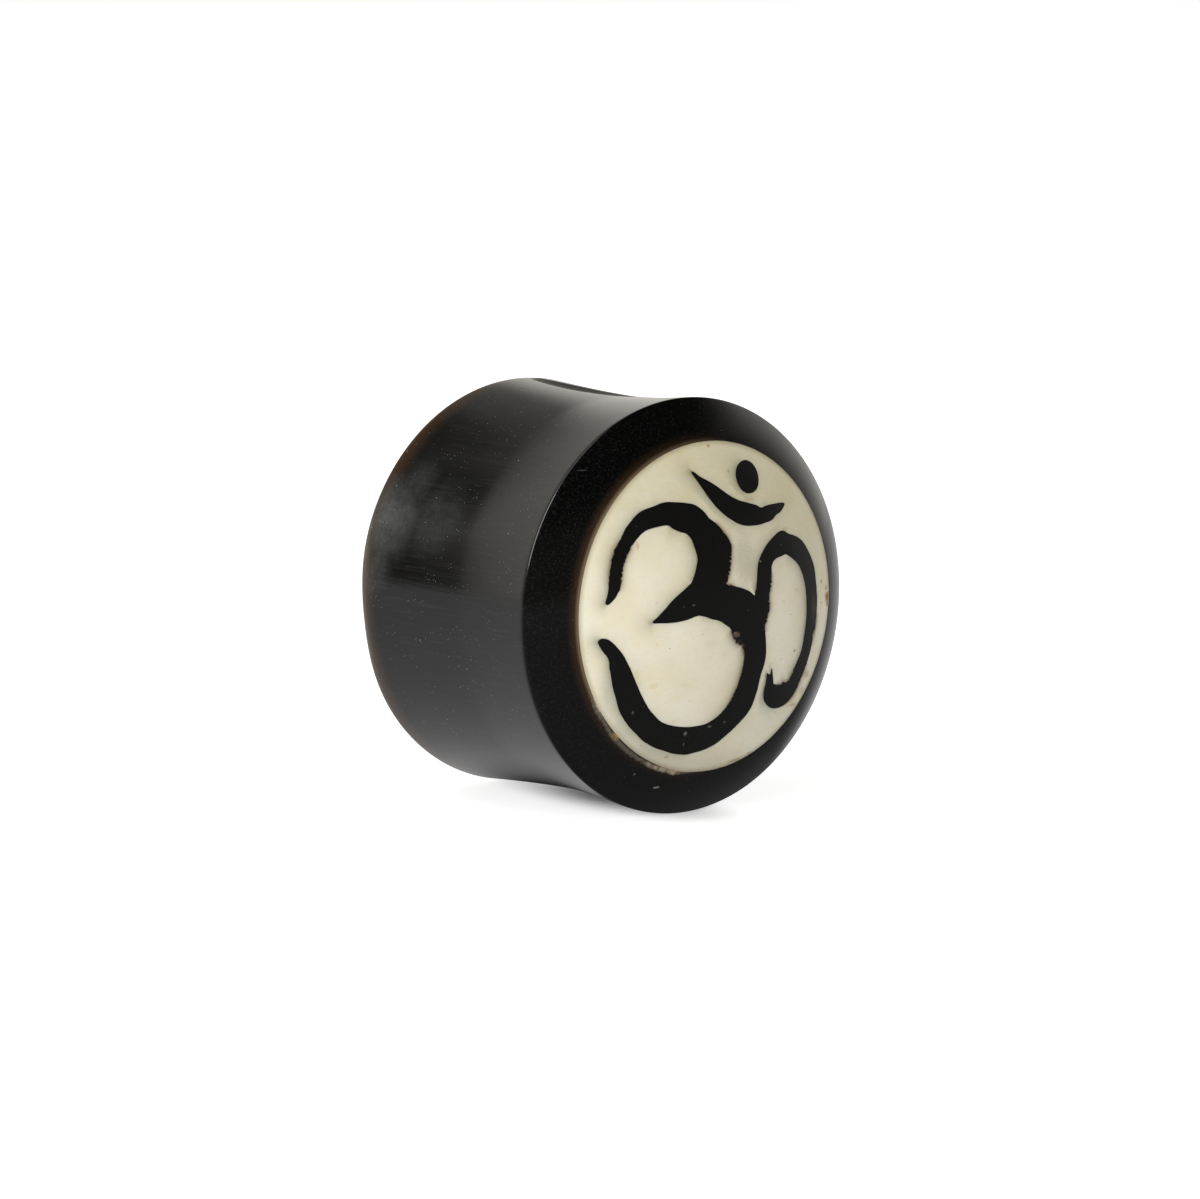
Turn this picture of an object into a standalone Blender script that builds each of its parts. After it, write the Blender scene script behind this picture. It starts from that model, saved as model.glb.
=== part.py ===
"""A double-flared ear gauge plug of black horn, with a domed bone disc let into its front face.

The bone disc carries an inlaid Om sign in three black pieces. Everything is turned about the
plug's own axis, local Z, with the inlaid face at the top. An empty then lays the plug on its
side, so that the face looks along -Y and the two flares stand on the plane Z = 0.
"""

import math

import bmesh
import bpy
from mathutils import Vector

MM = 0.001

# Driving dimensions
WAIST_DIAMETER = 16.0 * MM
FLARE_HEIGHT = 0.3 * MM
WEARING_LENGTH = 10.3 * MM
RIM_WIDTH = 1.73 * MM
RIM_RISE = 1.2 * MM
DISC_CROWN = 1.25 * MM
DISC_EDGE_THICKNESS = 1.8 * MM
RECESS_BELOW_EDGE = 0.7 * MM
BACK_EDGE_WIDTH = 0.9 * MM
BACK_EDGE_RISE = 0.5 * MM
SEAT_GAP = 0.1 * MM
INLAY_GAP = 0.08 * MM

# How finely the round and curved shapes are divided. With more sides than this, the facets that
# the plug lies on are too narrow to keep it from rolling.
SIDES = 24
SADDLE_SECTIONS = 10
RIM_SECTIONS = 3
DOME_SECTIONS = 5
STEPS_PER_ROW = 3

# The waist lies a little nearer the front flare, and both flares rise from it by this power
WAIST_SHARE = 0.42
FLARE_POWER = 1.6

# Sizes that follow from the ones above
WAIST_RADIUS = WAIST_DIAMETER / 2
FLARE_RADIUS = WAIST_RADIUS + FLARE_HEIGHT
DISC_RADIUS = FLARE_RADIUS - RIM_WIDTH
SEAT_RADIUS = DISC_RADIUS + SEAT_GAP
BACK_CREASE_Z = BACK_EDGE_RISE
FRONT_CREASE_Z = BACK_CREASE_Z + WEARING_LENGTH
DISC_EDGE_Z = FRONT_CREASE_Z + RIM_RISE
DISC_BACK_Z = DISC_EDGE_Z - DISC_EDGE_THICKNESS
CROWN_Z = DISC_EDGE_Z + DISC_CROWN
RECESS_FLOOR_Z = DISC_EDGE_Z - RECESS_BELOW_EDGE
DOME_RADIUS = (DISC_RADIUS**2 + DISC_CROWN**2) / (2 * DISC_CROWN)

# A facet, and not an edge, faces each side, and each facet's middle lies on the true circle
HALF_STEP = math.pi / SIDES
FACET_STRETCH = 1 / math.cos(HALF_STEP)

# The sign's strokes: x, y and half width, all as shares of the disc's radius
UPPER_BOWL = (
    # x, y, half width
    (-0.818, 0.105, 0.010),
    (-0.767, 0.196, 0.034),
    (-0.743, 0.317, 0.042),
    (-0.681, 0.446, 0.046),
    (-0.586, 0.543, 0.050),
    (-0.464, 0.593, 0.062),
    (-0.336, 0.591, 0.072),
    (-0.231, 0.558, 0.088),
    (-0.150, 0.486, 0.104),
    (-0.094, 0.385, 0.126),
    (-0.087, 0.290, 0.135),
    (-0.114, 0.190, 0.134),
    (-0.140, 0.110, 0.110),
)
TONGUE = (
    # x, y, half width
    (-0.531, -0.021, 0.006),
    (-0.457, 0.003, 0.034),
    (-0.369, 0.039, 0.070),
    (-0.271, 0.079, 0.098),
    (-0.150, 0.079, 0.094),
    (-0.040, 0.060, 0.090),
)
LOWER_BOWL = (
    # x, y, half width
    (-0.130, 0.075, 0.070),
    (-0.040, 0.060, 0.100),
    (0.050, 0.022, 0.126),
    (0.157, -0.064, 0.132),
    (0.228, -0.179, 0.112),
    (0.249, -0.319, 0.092),
    (0.231, -0.429, 0.091),
    (0.196, -0.540, 0.098),
    (0.124, -0.650, 0.096),
    (0.000, -0.743, 0.083),
    (-0.170, -0.780, 0.085),
    (-0.321, -0.754, 0.080),
    (-0.464, -0.686, 0.077),
    (-0.576, -0.589, 0.077),
    (-0.657, -0.469, 0.074),
    (-0.710, -0.350, 0.063),
    (-0.750, -0.246, 0.047),
    (-0.793, -0.167, 0.036),
    (-0.848, -0.117, 0.024),
    (-0.866, -0.104, 0.010),
)
HOOK = (
    # x, y, half width
    (0.271, -0.086, 0.060),
    (0.297, 0.043, 0.071),
    (0.314, 0.160, 0.065),
    (0.333, 0.240, 0.060),
    (0.388, 0.310, 0.061),
    (0.496, 0.355, 0.069),
    (0.612, 0.325, 0.062),
    (0.711, 0.240, 0.060),
    (0.775, 0.111, 0.056),
    (0.797, -0.029, 0.056),
    (0.790, -0.164, 0.056),
    (0.760, -0.317, 0.055),
    (0.711, -0.436, 0.060),
    (0.646, -0.526, 0.066),
    (0.564, -0.580, 0.078),
    (0.479, -0.581, 0.073),
    (0.425, -0.573, 0.056),
    (0.382, -0.564, 0.018),
)
NIB = (
    # x, y, half width
    (0.440, -0.580, 0.050),
    (0.408, -0.507, 0.034),
    (0.398, -0.450, 0.025),
    (0.408, -0.420, 0.012),
)
CRESCENT = (
    # x, y, half width
    (-0.164, 0.829, 0.005),
    (-0.112, 0.768, 0.023),
    (-0.046, 0.707, 0.045),
    (0.036, 0.646, 0.058),
    (0.129, 0.583, 0.066),
    (0.229, 0.546, 0.063),
    (0.336, 0.529, 0.050),
    (0.414, 0.546, 0.044),
    (0.489, 0.557, 0.032),
    (0.566, 0.583, 0.006),
)
OM_STROKES = (UPPER_BOWL, TONGUE, LOWER_BOWL, HOOK, NIB)
DOT_CENTRE_SHARES = (0.269, 0.767)
DOT_RADIUS_SHARE = 0.097
DOT_SIDES = 24


def clear_scene():
    for obj in list(bpy.data.objects):
        bpy.data.objects.remove(obj, do_unlink=True)


def new_collection(name):
    collection = bpy.data.collections.new(name)
    bpy.context.scene.collection.children.link(collection)
    return collection


def linear(srgb):
    """A colour's sRGB shares as linear ones, with an alpha of 1."""
    channels = [c / 12.92 if c <= 0.04045 else ((c + 0.055) / 1.055) ** 2.4 for c in srgb]
    return (*channels, 1.0)


def new_material(name, srgb, roughness):
    material = bpy.data.materials.new(name)
    material.use_nodes = True
    shader = material.node_tree.nodes["Principled BSDF"]
    shader.inputs["Base Color"].default_value = linear(srgb)
    shader.inputs["Roughness"].default_value = roughness
    shader.inputs["Metallic"].default_value = 0.0
    return material


def turned(name, profile, collection, parent):
    """A solid of revolution about local Z. The profile's (radius, z) points start and end on
    the axis and run down the outer side."""
    mesh = bpy.data.meshes.new(name)
    points = [(radius * FACET_STRETCH, 0.0, z) for radius, z in profile]
    mesh.from_pydata(points, [(i, i + 1) for i in range(len(points) - 1)], [])
    obj = bpy.data.objects.new(name, mesh)
    collection.objects.link(obj)
    obj.parent = parent
    obj.rotation_euler.z = HALF_STEP
    screw = obj.modifiers.new("Turn", "SCREW")
    screw.axis = "Z"
    screw.steps = SIDES
    screw.render_steps = SIDES
    screw.use_merge_vertices = True
    screw.merge_threshold = 0.000001
    return obj


def dome_z(radius):
    """Height of the bone's domed face, a spherical cap, at this distance from the axis."""
    return CROWN_Z - DOME_RADIUS + math.sqrt(DOME_RADIUS**2 - radius**2)


def rim_z(radius):
    """Height of the horn rim, which carries on from the dome's slope and steepens outwards."""
    dome_slope = DISC_RADIUS / math.sqrt(DOME_RADIUS**2 - DISC_RADIUS**2)
    early_share = dome_slope * RIM_WIDTH / RIM_RISE
    out = (radius - DISC_RADIUS) / RIM_WIDTH
    return DISC_EDGE_Z - RIM_RISE * (early_share * out + (1 - early_share) * out**2)


def saddle_radius(share):
    """Radius of the worn stretch, at this share of the way from the front flare to the back."""
    if share < WAIST_SHARE:
        rise = (WAIST_SHARE - share) / WAIST_SHARE
    else:
        rise = (share - WAIST_SHARE) / (1 - WAIST_SHARE)
    return WAIST_RADIUS + FLARE_HEIGHT * rise**FLARE_POWER


def dome_profile():
    """The domed face from the axis out to the disc's edge."""
    radii = [DISC_RADIUS * i / DOME_SECTIONS for i in range(DOME_SECTIONS + 1)]
    return [(radius, dome_z(radius)) for radius in radii]


def body_profile():
    """The seat's floor and wall, the front rim, the saddle and the back face."""
    seat_floor_z = DISC_BACK_Z - SEAT_GAP
    profile = [(0.0, seat_floor_z), (SEAT_RADIUS, seat_floor_z)]
    rim_width = FLARE_RADIUS - SEAT_RADIUS
    for i in range(RIM_SECTIONS):
        radius = SEAT_RADIUS + rim_width * i / RIM_SECTIONS
        profile.append((radius, rim_z(radius)))
    for i in range(SADDLE_SECTIONS + 1):
        share = i / SADDLE_SECTIONS
        profile.append((saddle_radius(share), FRONT_CREASE_Z - WEARING_LENGTH * share))
    profile.append((FLARE_RADIUS - BACK_EDGE_WIDTH, 0.0))
    profile.append((0.0, 0.0))
    return profile


def blend(a, b, c, d, t):
    """Catmull-Rom value between b and c."""
    return (
        b
        + 0.5 * t * (c - a)
        + t**2 * (a - 2.5 * b + 2 * c - 0.5 * d)
        + 0.5 * t**3 * (3 * b - a - 3 * c + d)
    )


def stroke_outline(rows, margin):
    """A brush stroke's closed outline in metres, wider all round by the margin."""
    rows = [Vector(row) * DISC_RADIUS for row in rows]
    ends = [2 * rows[0] - rows[1], *rows, 2 * rows[-1] - rows[-2]]
    spine = []
    for i in range(len(rows) - 1):
        a, b, c, d = ends[i : i + 4]
        spine += [blend(a, b, c, d, step / STEPS_PER_ROW) for step in range(STEPS_PER_ROW)]
    spine.append(rows[-1])
    left = []
    right = []
    for i, point in enumerate(spine):
        before = spine[max(i - 1, 0)]
        after = spine[min(i + 1, len(spine) - 1)]
        along = (after - before).xy.normalized()
        across = Vector((-along.y, along.x)) * (point.z + margin)
        end_shift = {0: -margin, len(spine) - 1: margin}.get(i, 0.0)
        centre = point.xy + along * end_shift
        left.append(centre + across)
        right.append(centre - across)
    return left + right[::-1]


def dot_outline(margin):
    centre = Vector(DOT_CENTRE_SHARES) * DISC_RADIUS
    radius = DOT_RADIUS_SHARE * DISC_RADIUS + margin
    angles = [math.tau * i / DOT_SIDES for i in range(DOT_SIDES)]
    return [centre + radius * Vector((math.cos(a), math.sin(a))) for a in angles]


def outline_prism(name, outline, low_z, high_z, collection, parent):
    """The outline as a flat curve with thickness, made a mesh so that Booleans take it."""
    curve = bpy.data.curves.new(name, "CURVE")
    curve.dimensions = "2D"
    curve.fill_mode = "BOTH"
    curve.extrude = (high_z - low_z) / 2
    spline = curve.splines.new("POLY")
    spline.points.add(len(outline) - 1)
    for spot, point in zip(spline.points, outline):
        spot.co = (point.x, point.y, 0.0, 1.0)
    spline.use_cyclic_u = True
    drawn = bpy.data.objects.new(name + "_outline", curve)
    collection.objects.link(drawn)
    drawn.parent = parent
    drawn.location.z = (low_z + high_z) / 2
    bpy.context.view_layer.update()
    graph = bpy.context.evaluated_depsgraph_get()
    mesh = bpy.data.meshes.new_from_object(drawn.evaluated_get(graph))
    welder = bmesh.new()
    welder.from_mesh(mesh)
    bmesh.ops.remove_doubles(welder, verts=welder.verts, dist=0.0000005)
    bmesh.ops.recalc_face_normals(welder, faces=welder.faces)
    welder.to_mesh(mesh)
    welder.free()
    prism = bpy.data.objects.new(name, mesh)
    collection.objects.link(prism)
    prism.matrix_world = drawn.matrix_world
    bpy.data.objects.remove(drawn, do_unlink=True)
    return prism


def hide_as_cutter(obj):
    obj.hide_render = True
    obj.display_type = "WIRE"
    return obj


def add_boolean(obj, operation, other):
    modifier = obj.modifiers.new(other.name, "BOOLEAN")
    modifier.operation = operation
    modifier.solver = "EXACT"
    modifier.object = other


def joined_strokes(name, strokes, margin, low_z, high_z, collection, cutters, parent):
    """One prism of several strokes that run into each other."""
    first, *others = strokes
    whole = outline_prism(name, stroke_outline(first, margin), low_z, high_z, collection, parent)
    for number, rows in enumerate(others, start=2):
        outline = stroke_outline(rows, margin)
        stroke = outline_prism(f"{name}_stroke_{number}", outline, low_z, high_z, cutters, parent)
        add_boolean(whole, "UNION", hide_as_cutter(stroke))
    return whole


def finish(obj, material):
    """Gives the piece its material and smooth shading between its sharp edges."""
    obj.data.materials.clear()
    obj.data.materials.append(material)
    obj.data.shade_smooth()
    obj.data.set_sharp_from_angle(angle=math.radians(30))


def make_horn_body(collection, parent, material):
    body = turned("horn_body", body_profile(), collection, parent)
    finish(body, material)


def make_bone_disc(collection, cutters, parent, material):
    """The domed disc, with a flat-floored recess under each part of the sign."""
    profile = [*dome_profile(), (DISC_RADIUS, DISC_BACK_Z), (0.0, DISC_BACK_Z)]
    disc = turned("bone_disc", profile, collection, parent)
    finish(disc, material)
    above = CROWN_Z + DISC_CROWN
    om = joined_strokes(
        "om_recess", OM_STROKES, INLAY_GAP, RECESS_FLOOR_Z, above, cutters, cutters, parent
    )
    crescent = outline_prism(
        "crescent_recess", stroke_outline(CRESCENT, INLAY_GAP), RECESS_FLOOR_Z, above, cutters, parent
    )
    dot = outline_prism("dot_recess", dot_outline(INLAY_GAP), RECESS_FLOOR_Z, above, cutters, parent)
    for recess in (om, crescent, dot):
        add_boolean(disc, "DIFFERENCE", hide_as_cutter(recess))


def make_inlays(collection, cutters, parent, material):
    """The sign's three black pieces, each with a flat back and a top that carries on the dome."""
    inlay_back_z = RECESS_FLOOR_Z + INLAY_GAP
    below = DISC_BACK_Z
    above = CROWN_Z + DISC_CROWN
    blank_profile = [*dome_profile(), (DISC_RADIUS, inlay_back_z), (0.0, inlay_back_z)]
    blank = hide_as_cutter(turned("inlay_blank", blank_profile, cutters, parent))
    om = joined_strokes("om_inlay", OM_STROKES, 0.0, below, above, collection, cutters, parent)
    crescent = outline_prism(
        "crescent_inlay", stroke_outline(CRESCENT, 0.0), below, above, collection, parent
    )
    dot = outline_prism("dot_inlay", dot_outline(0.0), below, above, collection, parent)
    for inlay in (om, crescent, dot):
        add_boolean(inlay, "INTERSECT", blank)
        finish(inlay, material)


def main():
    clear_scene()
    plug = new_collection("ear_gauge_plug")
    cutters = new_collection("cutters")
    axis = bpy.data.objects.new("plug_axis", None)
    plug.objects.link(axis)
    axis.location = (0.0, CROWN_Z / 2, FLARE_RADIUS)
    axis.rotation_euler.x = math.radians(90)
    bpy.context.view_layer.update()

    horn = new_material("black_horn", (0.11, 0.10, 0.09), 0.35)
    bone = new_material("cream_bone", (0.87, 0.84, 0.75), 0.40)
    inlay = new_material("black_inlay", (0.08, 0.08, 0.07), 0.30)
    make_horn_body(plug, axis, horn)
    make_bone_disc(plug, cutters, axis, bone)
    make_inlays(plug, cutters, axis, inlay)


if __name__ == "__main__":
    main()
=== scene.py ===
"""Looks of a double-flared ear gauge plug of black horn, with an Om sign inlaid in its bone face.

Each piece is modelled in the plug's own space, with local Z along its axis and the face at the
top, and is then laid down into the frame, where the face looks along -Y.
"""

import math

import bmesh
import bpy
from mathutils import Matrix, Vector, geometry, kdtree, noise


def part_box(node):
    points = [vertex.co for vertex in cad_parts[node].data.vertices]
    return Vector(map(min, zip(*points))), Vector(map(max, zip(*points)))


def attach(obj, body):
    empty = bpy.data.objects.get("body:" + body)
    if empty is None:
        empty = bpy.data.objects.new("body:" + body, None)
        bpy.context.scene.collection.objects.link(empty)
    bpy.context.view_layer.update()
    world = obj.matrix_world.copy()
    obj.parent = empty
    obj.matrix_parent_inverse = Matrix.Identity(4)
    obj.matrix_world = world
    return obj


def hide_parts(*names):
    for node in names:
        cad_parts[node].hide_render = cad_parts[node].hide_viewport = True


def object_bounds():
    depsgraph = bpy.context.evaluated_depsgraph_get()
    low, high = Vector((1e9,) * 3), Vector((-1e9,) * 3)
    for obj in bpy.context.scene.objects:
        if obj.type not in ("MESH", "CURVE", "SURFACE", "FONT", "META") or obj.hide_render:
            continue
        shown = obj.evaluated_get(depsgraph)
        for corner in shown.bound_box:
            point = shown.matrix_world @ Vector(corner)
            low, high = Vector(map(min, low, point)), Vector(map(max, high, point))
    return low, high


bl_info = {
    "name": "Horn Ear Gauge Plug",
    "version": (1, 0, 0),
    "blender": (4, 5, 0),
    "location": "View3D > Sidebar > Ear Plug",
    "description": "Models a double-flared horn ear plug with an Om sign inlaid in its bone face",
    "category": "Add Mesh",
}

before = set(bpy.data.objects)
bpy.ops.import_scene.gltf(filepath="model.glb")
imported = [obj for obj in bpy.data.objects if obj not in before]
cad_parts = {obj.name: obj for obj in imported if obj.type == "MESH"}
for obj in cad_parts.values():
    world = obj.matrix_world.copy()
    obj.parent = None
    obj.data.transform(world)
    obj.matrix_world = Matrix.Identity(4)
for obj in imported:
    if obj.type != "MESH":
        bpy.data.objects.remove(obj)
CAD_LOW, CAD_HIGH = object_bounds()
DISC_LOW, DISC_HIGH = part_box("bone_disc")

MM = 0.001

# The disc and its seat sit this far right of the axis and above it
SEAT_OFF_AXIS = (0.084 * MM, 0.100 * MM)

# The waist lies a little nearer the front flare, and both flares rise from it by this power
WAIST_SHARE = 0.42
FLARE_POWER = 1.6

# How finely the round pieces are divided
BODY_STEPS = 720
DISC_STEPS = 400
SEAM_STEPS = 1400
RIM_RINGS = 15
SADDLE_RINGS = 47
BACK_RINGS = 9
DOME_RINGS = 84

# Between these two angles in degrees the disc's edge has lost a sliver of bone, and the glue
# that fills its place is wide. It narrows at either end over the third
WIDE_GLUE = (-152, -100, 8)


def linear(hex_colour):
    """An sRGB hex colour as linear red, green and blue."""
    channels = [int(hex_colour[i : i + 2], 16) / 255 for i in (1, 3, 5)]
    return [c / 12.92 if c <= 0.04045 else ((c + 0.055) / 1.055) ** 2.4 for c in channels]


# Outlines of the sign's pieces, anticlockwise: x and y as shares of the disc's radius
OM_OUTLINE = (
    # The upper bowl's tip and inner edge
    (-0.823, 0.118), (-0.813, 0.107), (-0.799, 0.113), (-0.764, 0.146), (-0.744, 0.175),
    (-0.730, 0.204), (-0.723, 0.240), (-0.714, 0.290), (-0.697, 0.345), (-0.668, 0.400),
    (-0.634, 0.450), (-0.579, 0.500), (-0.529, 0.530), (-0.443, 0.546), (-0.400, 0.549),
    (-0.375, 0.545), (-0.350, 0.527), (-0.300, 0.506), (-0.261, 0.493), (-0.232, 0.461),
    (-0.214, 0.418), (-0.200, 0.371), (-0.196, 0.340), (-0.204, 0.307), (-0.218, 0.268),
    (-0.236, 0.225), (-0.250, 0.200), (-0.266, 0.189),
    # The tongue
    (-0.307, 0.161), (-0.350, 0.134), (-0.400, 0.096), (-0.450, 0.050), (-0.493, 0.012),
    (-0.523, -0.010), (-0.524, -0.018), (-0.512, -0.022), (-0.471, -0.024), (-0.400, -0.027),
    (-0.329, -0.023), (-0.271, -0.013), (-0.221, -0.002), (-0.196, 0.000), (-0.150, -0.011),
    # The lower bowl's inner edge
    (-0.100, -0.030), (-0.050, -0.043), (0.000, -0.070), (0.050, -0.105), (0.060, -0.139),
    (0.080, -0.168), (0.115, -0.202), (0.143, -0.211), (0.158, -0.238), (0.169, -0.278),
    (0.170, -0.315), (0.167, -0.350), (0.156, -0.400), (0.142, -0.450), (0.119, -0.500),
    (0.094, -0.550), (0.052, -0.600), (0.006, -0.638), (-0.040, -0.663), (-0.090, -0.678),
    (-0.155, -0.683), (-0.224, -0.681), (-0.290, -0.672), (-0.363, -0.652), (-0.411, -0.630),
    (-0.451, -0.600), (-0.503, -0.550), (-0.542, -0.500), (-0.574, -0.450), (-0.601, -0.400),
    (-0.629, -0.350), (-0.654, -0.300), (-0.681, -0.250), (-0.711, -0.200), (-0.752, -0.150),
    (-0.781, -0.121),
    # Its rounded tip and outer edge
    (-0.811, -0.100), (-0.842, -0.092), (-0.862, -0.098), (-0.870, -0.112), (-0.863, -0.129),
    (-0.850, -0.150), (-0.833, -0.174), (-0.808, -0.204), (-0.795, -0.235), (-0.790, -0.270),
    (-0.781, -0.304), (-0.771, -0.350), (-0.757, -0.400), (-0.738, -0.450), (-0.718, -0.500),
    (-0.695, -0.550), (-0.659, -0.600), (-0.614, -0.650), (-0.555, -0.703), (-0.500, -0.748),
    (-0.424, -0.790), (-0.350, -0.817), (-0.270, -0.843), (-0.190, -0.857), (-0.120, -0.852),
    (-0.050, -0.841), (0.002, -0.826), (0.054, -0.802), (0.102, -0.772), (0.150, -0.739),
    (0.202, -0.698), (0.241, -0.665), (0.269, -0.632), (0.288, -0.600), (0.303, -0.550),
    (0.317, -0.500), (0.325, -0.450), (0.335, -0.400), (0.352, -0.350), (0.361, -0.300),
    (0.357, -0.250), (0.350, -0.200), (0.340, -0.150), (0.334, -0.120), (0.344, -0.096),
    # The hook's inner edge
    (0.352, -0.070), (0.370, -0.030), (0.376, 0.000), (0.371, 0.050), (0.374, 0.080),
    (0.385, 0.110), (0.393, 0.150), (0.399, 0.200), (0.404, 0.235), (0.414, 0.258),
    (0.446, 0.281), (0.479, 0.289), (0.514, 0.294), (0.539, 0.300), (0.566, 0.293),
    (0.598, 0.275), (0.629, 0.254), (0.652, 0.236), (0.676, 0.212), (0.697, 0.180),
    (0.715, 0.143), (0.731, 0.100), (0.741, 0.050), (0.746, 0.000), (0.750, -0.050),
    (0.749, -0.100), (0.744, -0.150), (0.738, -0.200), (0.730, -0.250), (0.717, -0.300),
    (0.695, -0.350), (0.667, -0.400), (0.635, -0.450), (0.619, -0.480), (0.604, -0.491),
    (0.580, -0.497), (0.561, -0.489), (0.541, -0.501), (0.500, -0.498), (0.473, -0.492),
    (0.461, -0.483),
    # The nib, with its two teeth
    (0.453, -0.457), (0.443, -0.427), (0.438, -0.402), (0.431, -0.389), (0.425, -0.403),
    (0.419, -0.422), (0.406, -0.420), (0.392, -0.411), (0.386, -0.423), (0.388, -0.450),
    (0.387, -0.473), (0.381, -0.500), (0.379, -0.533),
    # The hook's outer edge
    (0.383, -0.560), (0.393, -0.581), (0.408, -0.600), (0.433, -0.619), (0.467, -0.637),
    (0.500, -0.646), (0.540, -0.649), (0.580, -0.645), (0.613, -0.637), (0.643, -0.621),
    (0.667, -0.600), (0.690, -0.577), (0.710, -0.550), (0.727, -0.520), (0.743, -0.487),
    (0.767, -0.450), (0.787, -0.407), (0.803, -0.367), (0.817, -0.327), (0.824, -0.300),
    (0.829, -0.267), (0.833, -0.233), (0.838, -0.208), (0.851, -0.196), (0.856, -0.173),
    (0.859, -0.147), (0.862, -0.100), (0.866, -0.050), (0.867, 0.000), (0.861, 0.050),
    (0.854, 0.100), (0.848, 0.150), (0.835, 0.200), (0.811, 0.250), (0.778, 0.300),
    (0.736, 0.350), (0.707, 0.370), (0.668, 0.391), (0.636, 0.404), (0.600, 0.414),
    (0.577, 0.424), (0.557, 0.436), (0.532, 0.441), (0.504, 0.439), (0.479, 0.432),
    (0.454, 0.420), (0.421, 0.402), (0.389, 0.382), (0.357, 0.358), (0.331, 0.332),
    (0.307, 0.306), (0.291, 0.278), (0.280, 0.246), (0.275, 0.214), (0.268, 0.170),
    (0.260, 0.130), (0.251, 0.097),
    # The lower bowl's shoulder
    (0.243, 0.080), (0.227, 0.090), (0.196, 0.111), (0.150, 0.130), (0.100, 0.146),
    (0.050, 0.160), (0.020, 0.167), (0.009, 0.171),
    # The upper bowl's outer edge
    (0.017, 0.188), (0.029, 0.213), (0.039, 0.238), (0.047, 0.260), (0.053, 0.290),
    (0.060, 0.321), (0.065, 0.350), (0.069, 0.379), (0.067, 0.404), (0.060, 0.424),
    (0.043, 0.450), (0.018, 0.479), (0.000, 0.502), (-0.025, 0.528), (-0.050, 0.549),
    (-0.077, 0.568), (-0.100, 0.599), (-0.121, 0.621), (-0.150, 0.643), (-0.186, 0.659),
    (-0.221, 0.666), (-0.271, 0.674), (-0.329, 0.680), (-0.371, 0.681), (-0.414, 0.676),
    (-0.457, 0.664), (-0.500, 0.655), (-0.543, 0.641), (-0.579, 0.621), (-0.614, 0.594),
    (-0.654, 0.554), (-0.682, 0.518), (-0.707, 0.482), (-0.732, 0.446), (-0.754, 0.407),
    (-0.771, 0.357), (-0.786, 0.300), (-0.794, 0.250), (-0.802, 0.200), (-0.812, 0.157),
)
CRESCENT_OUTLINE = (
    (-0.151, 0.839), (-0.136, 0.814), (-0.118, 0.786), (-0.093, 0.746), (-0.068, 0.707),
    (-0.039, 0.668), (-0.007, 0.629), (0.029, 0.594), (0.064, 0.567), (0.100, 0.544),
    (0.143, 0.522), (0.200, 0.505), (0.250, 0.499), (0.300, 0.497), (0.350, 0.499),
    (0.400, 0.505), (0.436, 0.513), (0.464, 0.524), (0.487, 0.539), (0.529, 0.552),
    (0.557, 0.568), (0.576, 0.583), (0.588, 0.597), (0.582, 0.603), (0.560, 0.606),
    (0.529, 0.606), (0.486, 0.606), (0.443, 0.606), (0.407, 0.601), (0.371, 0.594),
    (0.348, 0.599), (0.329, 0.610), (0.300, 0.620), (0.264, 0.629), (0.229, 0.638),
    (0.193, 0.649), (0.157, 0.663), (0.121, 0.681), (0.086, 0.704), (0.050, 0.729),
    (0.007, 0.757), (-0.036, 0.783), (-0.093, 0.813), (-0.121, 0.834), (-0.143, 0.848),
)
DOT_CENTRE = (0.287, 0.783)
DOT_RADIUS = 0.097

# Stretches of the sawn edges that are frayed, as shares of the disc's radius
FRAYED = (
    # x, y, reach, amount
    (0.04, 0.28, 0.15, 1.5),
    (0.02, 0.48, 0.10, 0.8),
    (-0.69, 0.33, 0.17, 0.9),
    (0.38, 0.07, 0.15, 1.3),
    (0.35, -0.09, 0.07, 1.3),
    (0.11, -0.19, 0.12, 1.5),
    (0.13, -0.45, 0.20, 0.7),
    (0.84, -0.19, 0.12, 0.9),
    (0.71, -0.52, 0.16, 0.8),
    (0.57, -0.50, 0.10, 0.7),
)

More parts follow.
